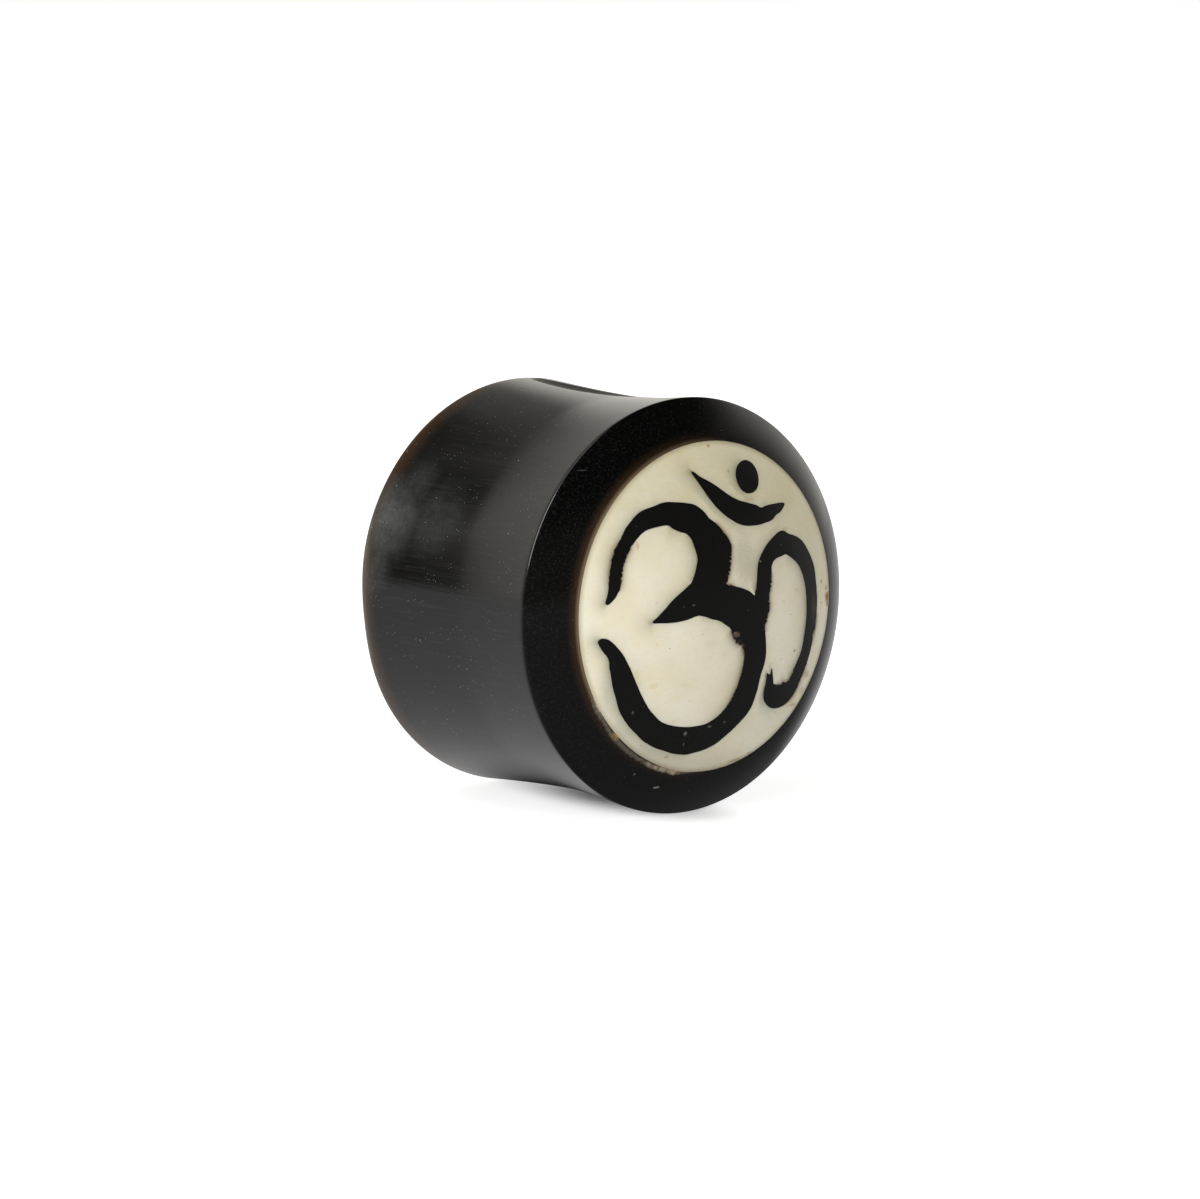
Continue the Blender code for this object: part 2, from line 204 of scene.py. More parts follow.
# Stains and pits of the bone, patches of painted shade on it, and chips and grains of the inlays,
# as shares of the disc's radius
BONE_STAINS_AND_SHADE = (
    # x, y, half width, half height, amount, colour
    # Painted shade on the narrow bone between the upper bowl and the hook
    (0.175, 0.300, 0.090, 0.170, 0.42, "#a3a08a"),
    # Painted shade, grey-green, along the bone's lower left edge
    (-0.770, -0.420, 0.070, 0.180, 0.34, "#adafa3"),
    (-0.640, -0.640, 0.110, 0.110, 0.34, "#adafa3"),
    (-0.420, -0.810, 0.150, 0.070, 0.30, "#adafa3"),
    # Stains, pits and flecks
    (0.020, 0.985, 0.016, 0.012, 0.85, "#a98543"),
    (-0.600, 0.440, 0.010, 0.026, 0.45, "#b98c58"),
    (-0.620, -0.330, 0.026, 0.044, 0.32, "#cdb676"),
    (-0.595, -0.385, 0.022, 0.020, 0.28, "#cbb476"),
    (-0.500, -0.400, 0.034, 0.020, 0.30, "#cdb67a"),
    (-0.280, -0.410, 0.040, 0.012, 0.18, "#cfbb8a"),
    (-0.100, -0.180, 0.060, 0.030, 0.16, "#c4b090"),
    (0.010, -0.260, 0.030, 0.020, 0.16, "#cab68a"),
    (-0.325, -0.857, 0.020, 0.012, 0.60, "#9c7a4a"),
    (0.640, -0.302, 0.012, 0.008, 0.85, "#77705f"),
    (0.920, 0.090, 0.014, 0.014, 0.70, "#9a7f57"),
    (0.918, -0.037, 0.010, 0.008, 0.60, "#9a845f"),
    (0.853, -0.215, 0.014, 0.030, 0.50, "#a98a55"),
    (0.800, -0.470, 0.034, 0.026, 0.45, "#a98f5e"),
    (0.775, -0.570, 0.030, 0.026, 0.35, "#a58a74"),
    (0.700, -0.650, 0.040, 0.014, 0.40, "#a0845a"),
    (0.270, 0.655, 0.060, 0.022, 0.35, "#a5886c"),
    (0.560, 0.450, 0.040, 0.012, 0.35, "#a88a58"),
    (0.137, 0.830, 0.012, 0.014, 0.55, "#85826c"),
    (0.640, 0.075, 0.020, 0.010, 0.28, "#ad9a6c"),
    (0.250, -0.945, 0.080, 0.014, 0.45, "#8a6c48"),
    (0.360, -0.915, 0.030, 0.014, 0.40, "#94784f"),
    (0.985, -0.010, 0.026, 0.036, 0.95, "#8a5a20"),
    (0.990, -0.055, 0.014, 0.018, 0.85, "#7a5120"),
    (0.975, 0.045, 0.014, 0.024, 0.65, "#8f6c3c"),
)
INLAY_MARKS = (
    # x, y, half width, half height, amount, colour
    (0.095, -0.143, 0.030, 0.017, 0.75, "#6a5b48"),
    (0.080, -0.130, 0.016, 0.007, 0.60, "#8b7a62"),
    (0.148, -0.214, 0.016, 0.013, 0.70, "#5d4a36"),
    (0.115, -0.185, 0.020, 0.010, 0.55, "#4a3826"),
    (-0.240, 0.066, 0.012, 0.005, 0.16, "#a8a698"),
    (-0.310, 0.062, 0.010, 0.004, 0.14, "#a8a698"),
    (0.305, 0.280, 0.008, 0.006, 0.55, "#a8a698"),
    (-0.222, -0.722, 0.012, 0.015, 0.30, "#a8a698"),
    (-0.045, -0.695, 0.015, 0.007, 0.24, "#a8a698"),
    (0.070, -0.680, 0.012, 0.007, 0.20, "#a8a698"),
    (-0.615, -0.555, 0.007, 0.012, 0.20, "#a8a698"),
    (-0.220, -0.790, 0.006, 0.012, 0.20, "#a8a698"),
    (0.830, -0.060, 0.030, 0.090, 0.16, "#7c6157"),
)

RIM_MARKS = (
    # x, y, half width, half height, amount, colour
    (-0.333, -1.054, 0.022, 0.007, 0.55, "#a39c8c"),
    (-0.516, -0.951, 0.008, 0.008, 0.35, "#8f8a80"),
    (-0.838, 0.888, 0.030, 0.0035, 0.16, "#8f8a80"),
    (1.040, -0.075, 0.024, 0.010, 0.85, "#1c1410"),
    (1.020, -0.040, 0.014, 0.020, 0.60, "#4a2f16"),
    (1.010, 0.020, 0.016, 0.030, 0.70, "#6e4a22"),
)

DUSTY_SPOTS = (
    # millimetres right of the axis, behind the face's top and above the axis, reach, amount
    (-7.55, 11.9, 3.3, 2.5, 0.85),
    (-6.90, 11.0, 4.6, 1.6, 0.4),
    (-8.10, 12.4, 1.6, 1.8, 0.5),
    (-7.20, 9.2, 3.4, 2.2, 0.3),
)


class PlugSizes(bpy.types.PropertyGroup):
    """Sizes of the plug's pieces."""

    length: bpy.props.FloatProperty(
        name="Length",
        description="From the flat back to the top of the domed face",
        default=CAD_HIGH.y - CAD_LOW.y,
        unit="LENGTH",
    )
    flare_radius: bpy.props.FloatProperty(
        name="Flare radius",
        description="Radius of both flares at their edges",
        default=(CAD_HIGH.x - CAD_LOW.x) / 2,
        unit="LENGTH",
    )
    waist_radius: bpy.props.FloatProperty(
        name="Waist radius",
        description="Radius of the worn stretch at its narrowest",
        default=8.0 * MM,
        unit="LENGTH",
    )
    disc_radius: bpy.props.FloatProperty(
        name="Disc radius",
        description="Radius of the bone disc",
        default=(DISC_HIGH.x - DISC_LOW.x) / 2,
        unit="LENGTH",
    )
    rim_rise: bpy.props.FloatProperty(
        name="Rim rise",
        description="Height of the horn rim from the front flare's edge to the disc",
        default=1.2 * MM,
        unit="LENGTH",
    )
    disc_crown: bpy.props.FloatProperty(
        name="Disc crown",
        description="Height of the bone's dome over its own edge",
        default=1.25 * MM,
        unit="LENGTH",
    )
    disc_thickness: bpy.props.FloatProperty(
        name="Disc thickness",
        description="Thickness of the bone at its edge",
        default=1.8 * MM,
        unit="LENGTH",
    )
    recess_below_edge: bpy.props.FloatProperty(
        name="Recess depth",
        description="How far the inlays' recess goes below the disc's edge",
        default=0.7 * MM,
        unit="LENGTH",
    )
    back_edge_width: bpy.props.FloatProperty(
        name="Back edge width",
        description="Width of the rounded edge round the flat back",
        default=0.9 * MM,
        unit="LENGTH",
    )
    back_edge_rise: bpy.props.FloatProperty(
        name="Back edge rise",
        description="Height of the rounded edge round the flat back",
        default=0.5 * MM,
        unit="LENGTH",
    )
    back_wear: bpy.props.FloatProperty(
        name="Back wear",
        description="How far use has worn the back flare's edge",
        default=0.16 * MM,
        unit="LENGTH",
    )
    crease_round: bpy.props.FloatProperty(
        name="Crease rounding",
        description="How far polishing has rounded the front flare's edge",
        default=0.05 * MM,
        unit="LENGTH",
    )
    seam: bpy.props.FloatProperty(
        name="Seam",
        description="Width of the fine seam round each inlay",
        default=0.012 * MM,
        unit="LENGTH",
    )


class PlugColours(bpy.types.PropertyGroup):
    """Colours of the plug's materials."""

    horn: bpy.props.FloatVectorProperty(
        name="Horn",
        description="Colour of the black horn",
        default=linear("#020202"),
        subtype="COLOR",
    )
    thin_horn: bpy.props.FloatVectorProperty(
        name="Thin horn",
        description="Brown that shows where the horn is thin enough for light to pass",
        default=linear("#3e2a17"),
        subtype="COLOR",
    )
    bone: bpy.props.FloatVectorProperty(
        name="Bone",
        description="Colour of the clean bone",
        default=linear("#e9e3d0"),
        subtype="COLOR",
    )
    aged_bone: bpy.props.FloatVectorProperty(
        name="Aged bone",
        description="Yellower colour of the bone's clouds and flecks",
        default=linear("#dacda6"),
        subtype="COLOR",
    )
    pores: bpy.props.FloatVectorProperty(
        name="Pores",
        description="Brown of the bone's pores and stains",
        default=linear("#6e5130"),
        subtype="COLOR",
    )
    inlay: bpy.props.FloatVectorProperty(
        name="Inlay",
        description="Colour of the black horn inlays",
        default=linear("#060605"),
        subtype="COLOR",
    )
    glue: bpy.props.FloatVectorProperty(
        name="Glue",
        description="Brown of the old glue in the disc's seam",
        default=linear("#2c2117"),
        subtype="COLOR",
    )


class PlugStudio(bpy.types.PropertyGroup):
    """Camera and light."""

    azimuth: bpy.props.FloatProperty(
        name="Azimuth",
        description="Direction of the camera round the plug, from straight in front",
        default=math.radians(-40.8),
        subtype="ANGLE",
    )
    elevation: bpy.props.FloatProperty(
        name="Elevation",
        description="Height of the camera over the horizon",
        default=math.radians(8.14),
        subtype="ANGLE",
    )
    distance: bpy.props.FloatProperty(
        name="Distance",
        description="From the camera to the middle of the front flare",
        default=201.0 * MM,
        unit="LENGTH",
    )
    lens: bpy.props.FloatProperty(
        name="Lens",
        description="Focal length in millimetres, on a sensor 36 mm wide",
        default=152.33,
        min=1.0,
    )


def plug_to_frame(sizes):
    """Lays the plug on its side, with its face along -Y and its flares on the floor."""
    place = Matrix.Translation((0.0, sizes.length / 2, sizes.flare_radius))
    return place @ Matrix.Rotation(math.radians(90), 4, "X")


def disc_edge_z(sizes):
    return sizes.length - sizes.disc_crown


def front_crease_z(sizes):
    return disc_edge_z(sizes) - sizes.rim_rise


def dome_radius(sizes):
    return (sizes.disc_radius**2 + sizes.disc_crown**2) / (2 * sizes.disc_crown)


def dome_z(sizes, radius):
    """Height of the bone's domed face, a spherical cap, at this distance from the axis."""
    ball = dome_radius(sizes)
    return sizes.length - ball + math.sqrt(ball**2 - radius**2)


def rim_z(sizes, radius):
    """Height of the horn rim, which carries on from the dome's slope and steepens outwards."""
    rim_width = sizes.flare_radius - sizes.disc_radius
    dome_slope = sizes.disc_radius / math.sqrt(dome_radius(sizes) ** 2 - sizes.disc_radius**2)
    early_share = dome_slope * rim_width / sizes.rim_rise
    out = (radius - sizes.disc_radius) / rim_width
    return disc_edge_z(sizes) - sizes.rim_rise * (early_share * out + (1 - early_share) * out**2)


def face_z(sizes, radius):
    """Height of the front face, bone or rim."""
    if radius < sizes.disc_radius:
        return dome_z(sizes, radius)
    return rim_z(sizes, radius)


def saddle_radius(sizes, share):
    """Radius of the worn stretch, at this share of the way from the front flare to the back."""
    if share < WAIST_SHARE:
        rise = (WAIST_SHARE - share) / WAIST_SHARE
    else:
        rise = (share - WAIST_SHARE) / (1 - WAIST_SHARE)
    return sizes.waist_radius + (sizes.flare_radius - sizes.waist_radius) * rise**FLARE_POWER


def spread(start, end, count):
    """Evenly spaced values from start to end, both included."""
    return [start + (end - start) * i / (count - 1) for i in range(count)]


def turn(profile, steps):
    """A closed solid turned from (radius, z) points that start and end on the axis."""
    bm = bmesh.new()
    verts = [bm.verts.new((radius, 0.0, z)) for radius, z in profile]
    edges = [bm.edges.new(pair) for pair in zip(verts, verts[1:])]
    bmesh.ops.spin(
        bm,
        geom=verts + edges,
        cent=(0, 0, 0),
        axis=(0, 0, 1),
        angle=math.tau,
        steps=steps,
        use_merge=True,
    )
    bmesh.ops.remove_doubles(bm, verts=bm.verts, dist=0.0001 * MM)
    bmesh.ops.recalc_face_normals(bm, faces=bm.faces)
    return bm


def shift_seat(bm, sizes):
    """Moves the disc's edge, or the edge of its seat, a little off the axis along the face."""
    reach = sizes.flare_radius - sizes.disc_radius
    off_axis = Vector(SEAT_OFF_AXIS)
    for vertex in bm.verts:
        flat = vertex.co.xy
        share = 1 - abs(flat.length - sizes.disc_radius) / reach
        height = face_z(sizes, min(flat.length, sizes.flare_radius))
        on_face = abs(vertex.co.z - height) < 0.001 * MM
        in_seat = flat.length < sizes.disc_radius + 2 * sizes.seam
        if share <= 0 or not (on_face or in_seat):
            continue
        flat += off_axis * share
        vertex.co.xy = flat
        if on_face:
            vertex.co.z = face_z(sizes, flat.length)


def to_object(bm, name):
    mesh = bpy.data.meshes.new(name)
    bm.to_mesh(mesh)
    bm.free()
    obj = bpy.data.objects.new(name, mesh)
    bpy.context.scene.collection.objects.link(obj)
    return obj


def finish_piece(obj, sizes, material, node=None):
    """Lays the piece into the frame, shades it smooth and lets it stand for its CAD node."""
    obj.data.transform(plug_to_frame(sizes))
    obj.data.materials.clear()
    obj.data.materials.append(material)
    obj.data.shade_smooth()
    obj.data.set_sharp_from_angle(angle=math.radians(35))
    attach(obj, "root")
    if node:
        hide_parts(node)


def piece_outline(points, radius, margin):
    """A smooth closed outline through the points, wider all round by the margin."""
    points = [Vector(point) * radius for point in points]
    ways = [
        (after - before).normalized()
        for before, after in zip(points[-1:] + points[:-1], points[1:] + points[:1])
    ]
    path = []
    ends = zip(points, points[1:] + points[:1], ways, ways[1:] + ways[:1])
    for start, end, way, next_way in ends:
        reach = (end - start).length / 3
        handles = (start, start + way * reach, end - next_way * reach, end)
        path += geometry.interpolate_bezier(*handles, 7)[:-1]
    path = [point.xy for point in path]
    outline = []
    for before, point, after in zip(path[-1:] + path[:-1], path, path[1:] + path[:1]):
        along = (after - before).normalized()
        outline.append(point + margin * Vector((along.y, -along.x)))
    return outline


def dot_outline(radius, margin):
    centre = Vector(DOT_CENTRE) * radius
    reach = DOT_RADIUS * radius + margin
    sides = 72
    angles = [math.tau * i / sides for i in range(sides)]
    return [centre + reach * Vector((math.cos(a), math.sin(a))) for a in angles]


def sawn(outline, radius):
    """The outline with points evenly spaced along it and the small waver of a hand saw. It is
    frayed where FRAYED says, but not at its corners."""
    spacing = 0.032 * MM
    waver = 0.014 * MM
    waver_length = 0.55 * MM
    fray = 0.095 * MM
    tooth = 0.085 * MM
    # The outline's direction is judged over this many points either way, and where it turns by
    # this many radians it is at a corner
    span = 3
    corner_turn = 0.7
    points = []
    for start, end in zip(outline, outline[1:] + outline[:1]):
        count = max(1, round((end - start).length / spacing))
        points += [start.lerp(end, i / count) for i in range(count)]
    moved = []
    for i, point in enumerate(points):
        before = point - points[i - span]
        after = points[(i + span) % len(points)] - point
        along = before + after
        if along.length == 0:
            continue
        out = Vector((along.y, -along.x)).normalized()
        straight = max(0.0, 1 - before.angle(after) / corner_turn)
        spot = Vector((point.x, point.y, 0.0))
        shift = waver * noise.noise(spot / waver_length)
        for x, y, reach, amount in FRAYED:
            away = (point - Vector((x, y)) * radius).length / (reach * radius)
            if away < 1:
                tear = noise.noise(spot / tooth) * straight
                shift += tear * fray * amount * (1 - away) ** 0.4
        moved.append(point + out * shift)
    return moved


def prism(name, outline, low_z, high_z):
    """The outline raised into a solid that stands between the two heights."""
    bm = bmesh.new()
    base = bm.faces.new([bm.verts.new((p.x, p.y, low_z)) for p in outline])
    raised = bmesh.ops.extrude_face_region(bm, geom=[base])
    top = [part for part in raised["geom"] if isinstance(part, bmesh.types.BMVert)]
    bmesh.ops.translate(bm, verts=top, vec=(0, 0, high_z - low_z))
    bmesh.ops.recalc_face_normals(bm, faces=bm.faces)
    return to_object(bm, name)


def apply_boolean(obj, operation, others):
    """Joins, cuts or trims obj with the others, which are then deleted."""
    for other in others:
        modifier = obj.modifiers.new(other.name, "BOOLEAN")
        modifier.operation = operation
        modifier.solver = "EXACT"
        modifier.object = other
    graph = bpy.context.evaluated_depsgraph_get()
    graph.update()
    mesh = bpy.data.meshes.new_from_object(obj.evaluated_get(graph))
    obj.modifiers.clear()
    obj.data = mesh
    for other in others:
        bpy.data.objects.remove(other, do_unlink=True)
    return obj


def sign_outlines(radius, margin):
    """The outlines of the sign's three pieces: the Om, its crescent and its dot."""
    return (
        piece_outline(OM_OUTLINE, radius, margin),
        piece_outline(CRESCENT_OUTLINE, radius, margin),
        dot_outline(radius, margin),
    )


def sign_prisms(sizes, margin, low_z, high_z):
    """The sign's three pieces as solids that stand through the face."""
    radius = sizes.disc_radius
    outlines = [sawn(outline, radius) for outline in sign_outlines(radius, margin)]
    return [prism("piece", outline, low_z, high_z) for outline in outlines]


def dome_blank(sizes, low_z):
    """A round blank with the face's dome on top."""
    radii = spread(0.0, sizes.disc_radius, DOME_RINGS)
    dome = [(radius, dome_z(sizes, radius)) for radius in radii]
    return turn([*dome, (sizes.disc_radius, low_z), (0.0, low_z)], DISC_STEPS)


def add_node(tree, kind, settings=None, links=None):
    """Adds a node, sets its values and links its inputs. A key that names no property of the
    node is an input's name or number."""
    node = tree.nodes.new(kind)
    for key, value in (settings or {}).items():
        if isinstance(key, str) and hasattr(node, key):
            setattr(node, key, value)
        else:
            node.inputs[key].default_value = value
    for key, source in (links or {}).items():
        tree.links.new(source, node.inputs[key])
    return node


def new_material(name):
    """An empty node material, with its output node."""
    material = bpy.data.materials.new(name)
    material.use_nodes = True
    material.node_tree.nodes.clear()
    output = add_node(material.node_tree, "ShaderNodeOutputMaterial")
    return material, material.node_tree, output


def rgba(colour):
    return (*colour, 1.0)


def distance_from_axis(tree, sizes, off_axis):
    """Each point's place, its place from a line along the plug, and its distance from that line.
    The line is the plug's axis, moved right and up by off_axis."""
    place = add_node(tree, "ShaderNodeTexCoord").outputs["Object"]
    from_axis = add_node(
        tree,
        "ShaderNodeVectorMath",
        {"operation": "SUBTRACT", 1: (off_axis[0], 0.0, sizes.flare_radius + off_axis[1])},
        {0: place},
    ).outputs[0]
    flat = add_node(
        tree, "ShaderNodeVectorMath", {"operation": "MULTIPLY", 1: (1.0, 0.0, 1.0)}, {0: from_axis}
    ).outputs[0]
    distance = add_node(
        tree, "ShaderNodeVectorMath", {"operation": "LENGTH"}, {0: flat}
    ).outputs["Value"]
    return place, flat, distance


def paint_marks(tree, sizes, place, colour, marks):
    """The colour with soft-edged marks laid over it. Each is placed on the face by shares of the
    disc's radius."""
    ragged = add_node(
        tree, "ShaderNodeTexNoise", {"Scale": 1 / (0.12 * MM), "Detail": 3.0}, {"Vector": place}
    ).outputs["Fac"]
    radius = sizes.disc_radius
    for x, y, half_width, half_height, amount, hex_colour in marks:
        middle = (x * radius, 0.0, sizes.flare_radius + y * radius)
        reach = (1 / (half_width * radius), 0.0, 1 / (half_height * radius))
        away = add_node(
            tree, "ShaderNodeVectorMath", {"operation": "SUBTRACT", 1: middle}, {0: place}
        ).outputs[0]
        away = add_node(
            tree, "ShaderNodeVectorMath", {"operation": "MULTIPLY", 1: reach}, {0: away}
        ).outputs[0]
        away = add_node(
            tree, "ShaderNodeVectorMath", {"operation": "LENGTH"}, {0: away}
        ).outputs["Value"]
        away = add_node(
            tree, "ShaderNodeMath", {"operation": "ADD"}, {0: away, 1: ragged}
        ).outputs[0]
        share = add_node(
            tree,
            "ShaderNodeMapRange",
            {"From Min": 1.7, "From Max": 0.9, "To Min": 0.0, "To Max": amount},
            {"Value": away},
        ).outputs[0]
        colour = add_node(
            tree,
            "ShaderNodeMix",
            {"data_type": "RGBA", 7: rgba(linear(hex_colour))},
            {0: share, 6: colour},
        ).outputs[2]
    return colour


def specks(tree, place, cell, size, share):
    """Small round marks, scattered about a cell apart, of which only this share show."""
    cells = add_node(
        tree, "ShaderNodeTexVoronoi", {"Scale": 1 / cell, "Randomness": 1.0}, {"Vector": place}
    )
    near = add_node(
        tree,
        "ShaderNodeMapRange",
        {"From Min": size / cell, "From Max": 0.4 * size / cell, "To Min": 0.0, "To Max": 1.0},
        {"Value": cells.outputs["Distance"]},
    ).outputs[0]
    random_share = add_node(
        tree, "ShaderNodeSeparateColor", {}, {"Color": cells.outputs["Color"]}
    ).outputs["Red"]
    chosen = add_node(
        tree, "ShaderNodeMath", {"operation": "LESS_THAN", 1: share}, {0: random_share}
    ).outputs[0]
    return add_node(
        tree, "ShaderNodeMath", {"operation": "MULTIPLY"}, {0: near, 1: chosen}
    ).outputs[0]


def dusty_patch(tree, sizes, place):
    """Where handling has left a film of dust on the horn, at the plug's left near its back."""
    film = add_node(
        tree,
        "ShaderNodeTexNoise",
        {"Scale": 1 / (0.9 * MM), "Detail": 8.0, "Roughness": 0.8},
        {"Vector": place},
    ).outputs["Fac"]
    film = add_node(
        tree,
        "ShaderNodeMapRange",
        {"From Min": 0.35, "From Max": 0.65, "To Min": 0.35, "To Max": 1.0},
        {"Value": film},
    ).outputs[0]
    near = None
    for x, y, z, reach, amount in DUSTY_SPOTS:
        spot = (x * MM, y * MM - sizes.length / 2, z * MM + sizes.flare_radius)
        away = add_node(
            tree, "ShaderNodeVectorMath", {"operation": "DISTANCE", 1: spot}, {0: place}
        ).outputs["Value"]
        reached = add_node(
            tree,
            "ShaderNodeMapRange",
            {
                "From Min": reach * MM,
                "From Max": 0.2 * reach * MM,
                "To Max": amount,
                "interpolation_type": "SMOOTHSTEP",
            },
            {"Value": away},
        ).outputs[0]
        if near:
            reached = add_node(
                tree, "ShaderNodeMath", {"operation": "MAXIMUM"}, {0: near, 1: reached}
            ).outputs[0]
        near = reached
    return add_node(
        tree, "ShaderNodeMath", {"operation": "MULTIPLY"}, {0: near, 1: film}
    ).outputs[0]


def horn_material(sizes, colours):
    # Water buffalo horn, turned, sanded and polished by hand. The keratin is nearly black with a
    # good gloss. Its fibres run along the plug and show as fine streaks in the sheen, thin edges
    # let brown light through, and dust and fine scratches catch the light.
    material, tree, output = new_material("polished_buffalo_horn")
    place, from_seat, radius = distance_from_axis(tree, sizes, SEAT_OFF_AXIS)
    # The real fibres are finer than a pixel, so they are drawn a tenth of a millimetre wide
    fibre_width = 0.10 * MM
    fibre_place = add_node(
        tree, "ShaderNodeMapping", {"Scale": (1.0, 0.02, 1.0)}, {"Vector": place}
    ).outputs[0]
    streaks = add_node(
        tree,
        "ShaderNodeTexNoise",
        {"Scale": 1 / fibre_width, "Detail": 4.0, "Roughness": 0.6},
        {"Vector": fibre_place},
    ).outputs["Fac"]
    clouds = add_node(
        tree,
        "ShaderNodeTexNoise",
        {"Scale": 1 / (2.4 * MM), "Detail": 5.0, "Roughness": 0.62},
        {"Vector": place},
    ).outputs["Fac"]
    dusty = add_node(
        tree,
        "ShaderNodeMapRange",
        {"From Min": 0.38, "From Max": 0.62, "To Min": 0.15, "To Max": 0.9},
        {"Value": clouds},
    ).outputs[0]
    fine_dust = add_node(
        tree,
        "ShaderNodeMath",
        {"operation": "MULTIPLY"},
        {0: specks(tree, place, 0.14 * MM, 0.020 * MM, 0.45), 1: dusty},
    ).outputs[0]
    dust = add_node(
        tree,
        "ShaderNodeMath",
        {"operation": "MAXIMUM"},
        {0: specks(tree, place, 0.50 * MM, 0.026 * MM, 0.25), 1: fine_dust},
    ).outputs[0]
    along = add_node(tree, "ShaderNodeSeparateXYZ", {}, {0: place}).outputs["Y"]
    # Painted glow: the back flare's edge is thin enough to show brown where light passes through it
    back_crease_y = sizes.length / 2 - sizes.back_edge_rise
    edge_glow = add_node(
        tree,
        "ShaderNodeMapRange",
        {
            "From Min": back_crease_y - 1.1 * MM,
            "From Max": back_crease_y,
            "To Min": 0.0,
            "To Max": 0.85,
            "interpolation_type": "SMOOTHSTEP",
        },
        {"Value": along},
    ).outputs[0]
    by_the_edge = add_node(
        tree,
        "ShaderNodeMapRange",
        {
            "From Min": sizes.flare_radius - 1.3 * MM,
            "From Max": sizes.flare_radius - 0.7 * MM,
            "interpolation_type": "SMOOTHSTEP",
        },
        {"Value": radius},
    ).outputs[0]
    edge_glow = add_node(
        tree, "ShaderNodeMath", {"operation": "MULTIPLY"}, {0: edge_glow, 1: by_the_edge}
    ).outputs[0]
    # Painted glow: light that has gone into the bone shows brown through the horn beside it, at the
    # left
    brown = add_node(
        tree,
        "ShaderNodeMapRange",
        {
            "From Min": sizes.disc_radius + 0.50 * MM,
            "From Max": sizes.disc_radius + 0.02 * MM,
            "To Min": 0.0,
            "To Max": 0.62,
            "interpolation_type": "SMOOTHSTEP",
        },
        {"Value": radius},
    ).outputs[0]
    clear = add_node(
        tree,
        "ShaderNodeMapRange",
        {
            "From Min": sizes.disc_radius + 0.17 * MM,
            "From Max": sizes.disc_radius,
            "To Min": 0.0,
            "To Max": 1.0,
            "interpolation_type": "SMOOTHSTEP",
        },
        {"Value": radius},
    ).outputs[0]
    towards = add_node(
        tree, "ShaderNodeVectorMath", {"operation": "NORMALIZE"}, {0: from_seat}
    ).outputs[0]
    to_left = add_node(
        tree,
        "ShaderNodeVectorMath",
        {"operation": "DOT_PRODUCT", 1: (-0.996, 0.0, 0.087)},
        {0: towards},
    ).outputs["Value"]
    left_share = add_node(
        tree, "ShaderNodeMapRange", {"From Min": -0.1, "From Max": 0.85}, {"Value": to_left}
    ).outputs[0]
    in_front = add_node(
        tree,
        "ShaderNodeMath",
        {"operation": "LESS_THAN", 1: sizes.length / 2 - front_crease_z(sizes)},
        {0: along},
    ).outputs[0]
    front_left = add_node(
        tree, "ShaderNodeMath", {"operation": "MULTIPLY"}, {0: left_share, 1: in_front}
    ).outputs[0]
    brown = add_node(
        tree, "ShaderNodeMath", {"operation": "MULTIPLY"}, {0: brown, 1: front_left}
    ).outputs[0]
    clear = add_node(
        tree, "ShaderNodeMath", {"operation": "MULTIPLY"}, {0: clear, 1: front_left}
    ).outputs[0]
    glow = add_node(
        tree, "ShaderNodeMath", {"operation": "MAXIMUM"}, {0: edge_glow, 1: brown}
    ).outputs[0]
    black = add_node(
        tree,
        "ShaderNodeMix",
        {"data_type": "RGBA", 6: rgba(colours.horn), 7: rgba([2.5 * c for c in colours.horn])},
        {0: clouds},
    ).outputs[2]
    fibre_share = add_node(
        tree,
        "ShaderNodeMapRange",
        {"From Min": 0.5, "From Max": 0.72, "To Min": 0.0, "To Max": 0.8},
        {"Value": streaks},
    ).outputs[0]
    black = add_node(
        tree,
        "ShaderNodeMix",
        {"data_type": "RGBA", 7: rgba(linear("#191917"))},
        {0: fibre_share, 6: black},
    ).outputs[2]
    browned = add_node(
        tree,
        "ShaderNodeMix",
        {"data_type": "RGBA", 7: rgba(colours.thin_horn)},
        {0: glow, 6: black},
    ).outputs[2]
    cleared = add_node(
        tree,
        "ShaderNodeMix",
        {"data_type": "RGBA", 7: rgba(linear("#6a5a44"))},
        {0: clear, 6: browned},
    ).outputs[2]
    hazed = add_node(
        tree,
        "ShaderNodeMix",
        {"data_type": "RGBA", 7: rgba(linear("#545553"))},
        {0: dusty_patch(tree, sizes, place), 6: cleared},
    ).outputs[2]
    dusted = add_node(
        tree,
        "ShaderNodeMix",
        {"data_type": "RGBA", 7: rgba(linear("#9aa099"))},
        {0: dust, 6: hazed},
    ).outputs[2]
    front_dusted = add_node(
        tree, "ShaderNodeMix", {"data_type": "RGBA", 0: 0.2}, {6: hazed, 7: dusted}
    ).outputs[2]
    scratched = paint_marks(tree, sizes, place, front_dusted, RIM_MARKS)
    painted = add_node(
        tree, "ShaderNodeMix", {"data_type": "RGBA"}, {0: in_front, 6: dusted, 7: scratched}
    ).outputs[2]
    uneven = add_node(
        tree, "ShaderNodeMix", {"data_type": "FLOAT", 0: 0.45}, {2: clouds, 3: streaks}
    ).outputs[0]
    polished = add_node(
        tree,
        "ShaderNodeMapRange",
        {"From Min": 0.25, "From Max": 0.75, "To Min": 0.10, "To Max": 0.19},
        {"Value": uneven},
    ).outputs[0]
    # The scar on top has kept no polish
    scar = add_node(tree, "ShaderNodeAttribute", {"attribute_name": "scar"}).outputs["Fac"]
    roughness = add_node(
        tree, "ShaderNodeMix", {"data_type": "FLOAT", 3: 0.45}, {0: scar, 2: polished}
    ).outputs[0]
    bump = add_node(
        tree,
        "ShaderNodeBump",
        {"Strength": 0.5, "Distance": 0.006 * MM},
        {"Height": streaks},
    ).outputs[0]
    shader = add_node(
        tree,
        "ShaderNodeBsdfPrincipled",
        {"IOR": 1.5},
        {"Base Color": painted, "Roughness": roughness, "Normal": bump},
    )
    tree.links.new(shader.outputs[0], output.inputs["Surface"])
    return material


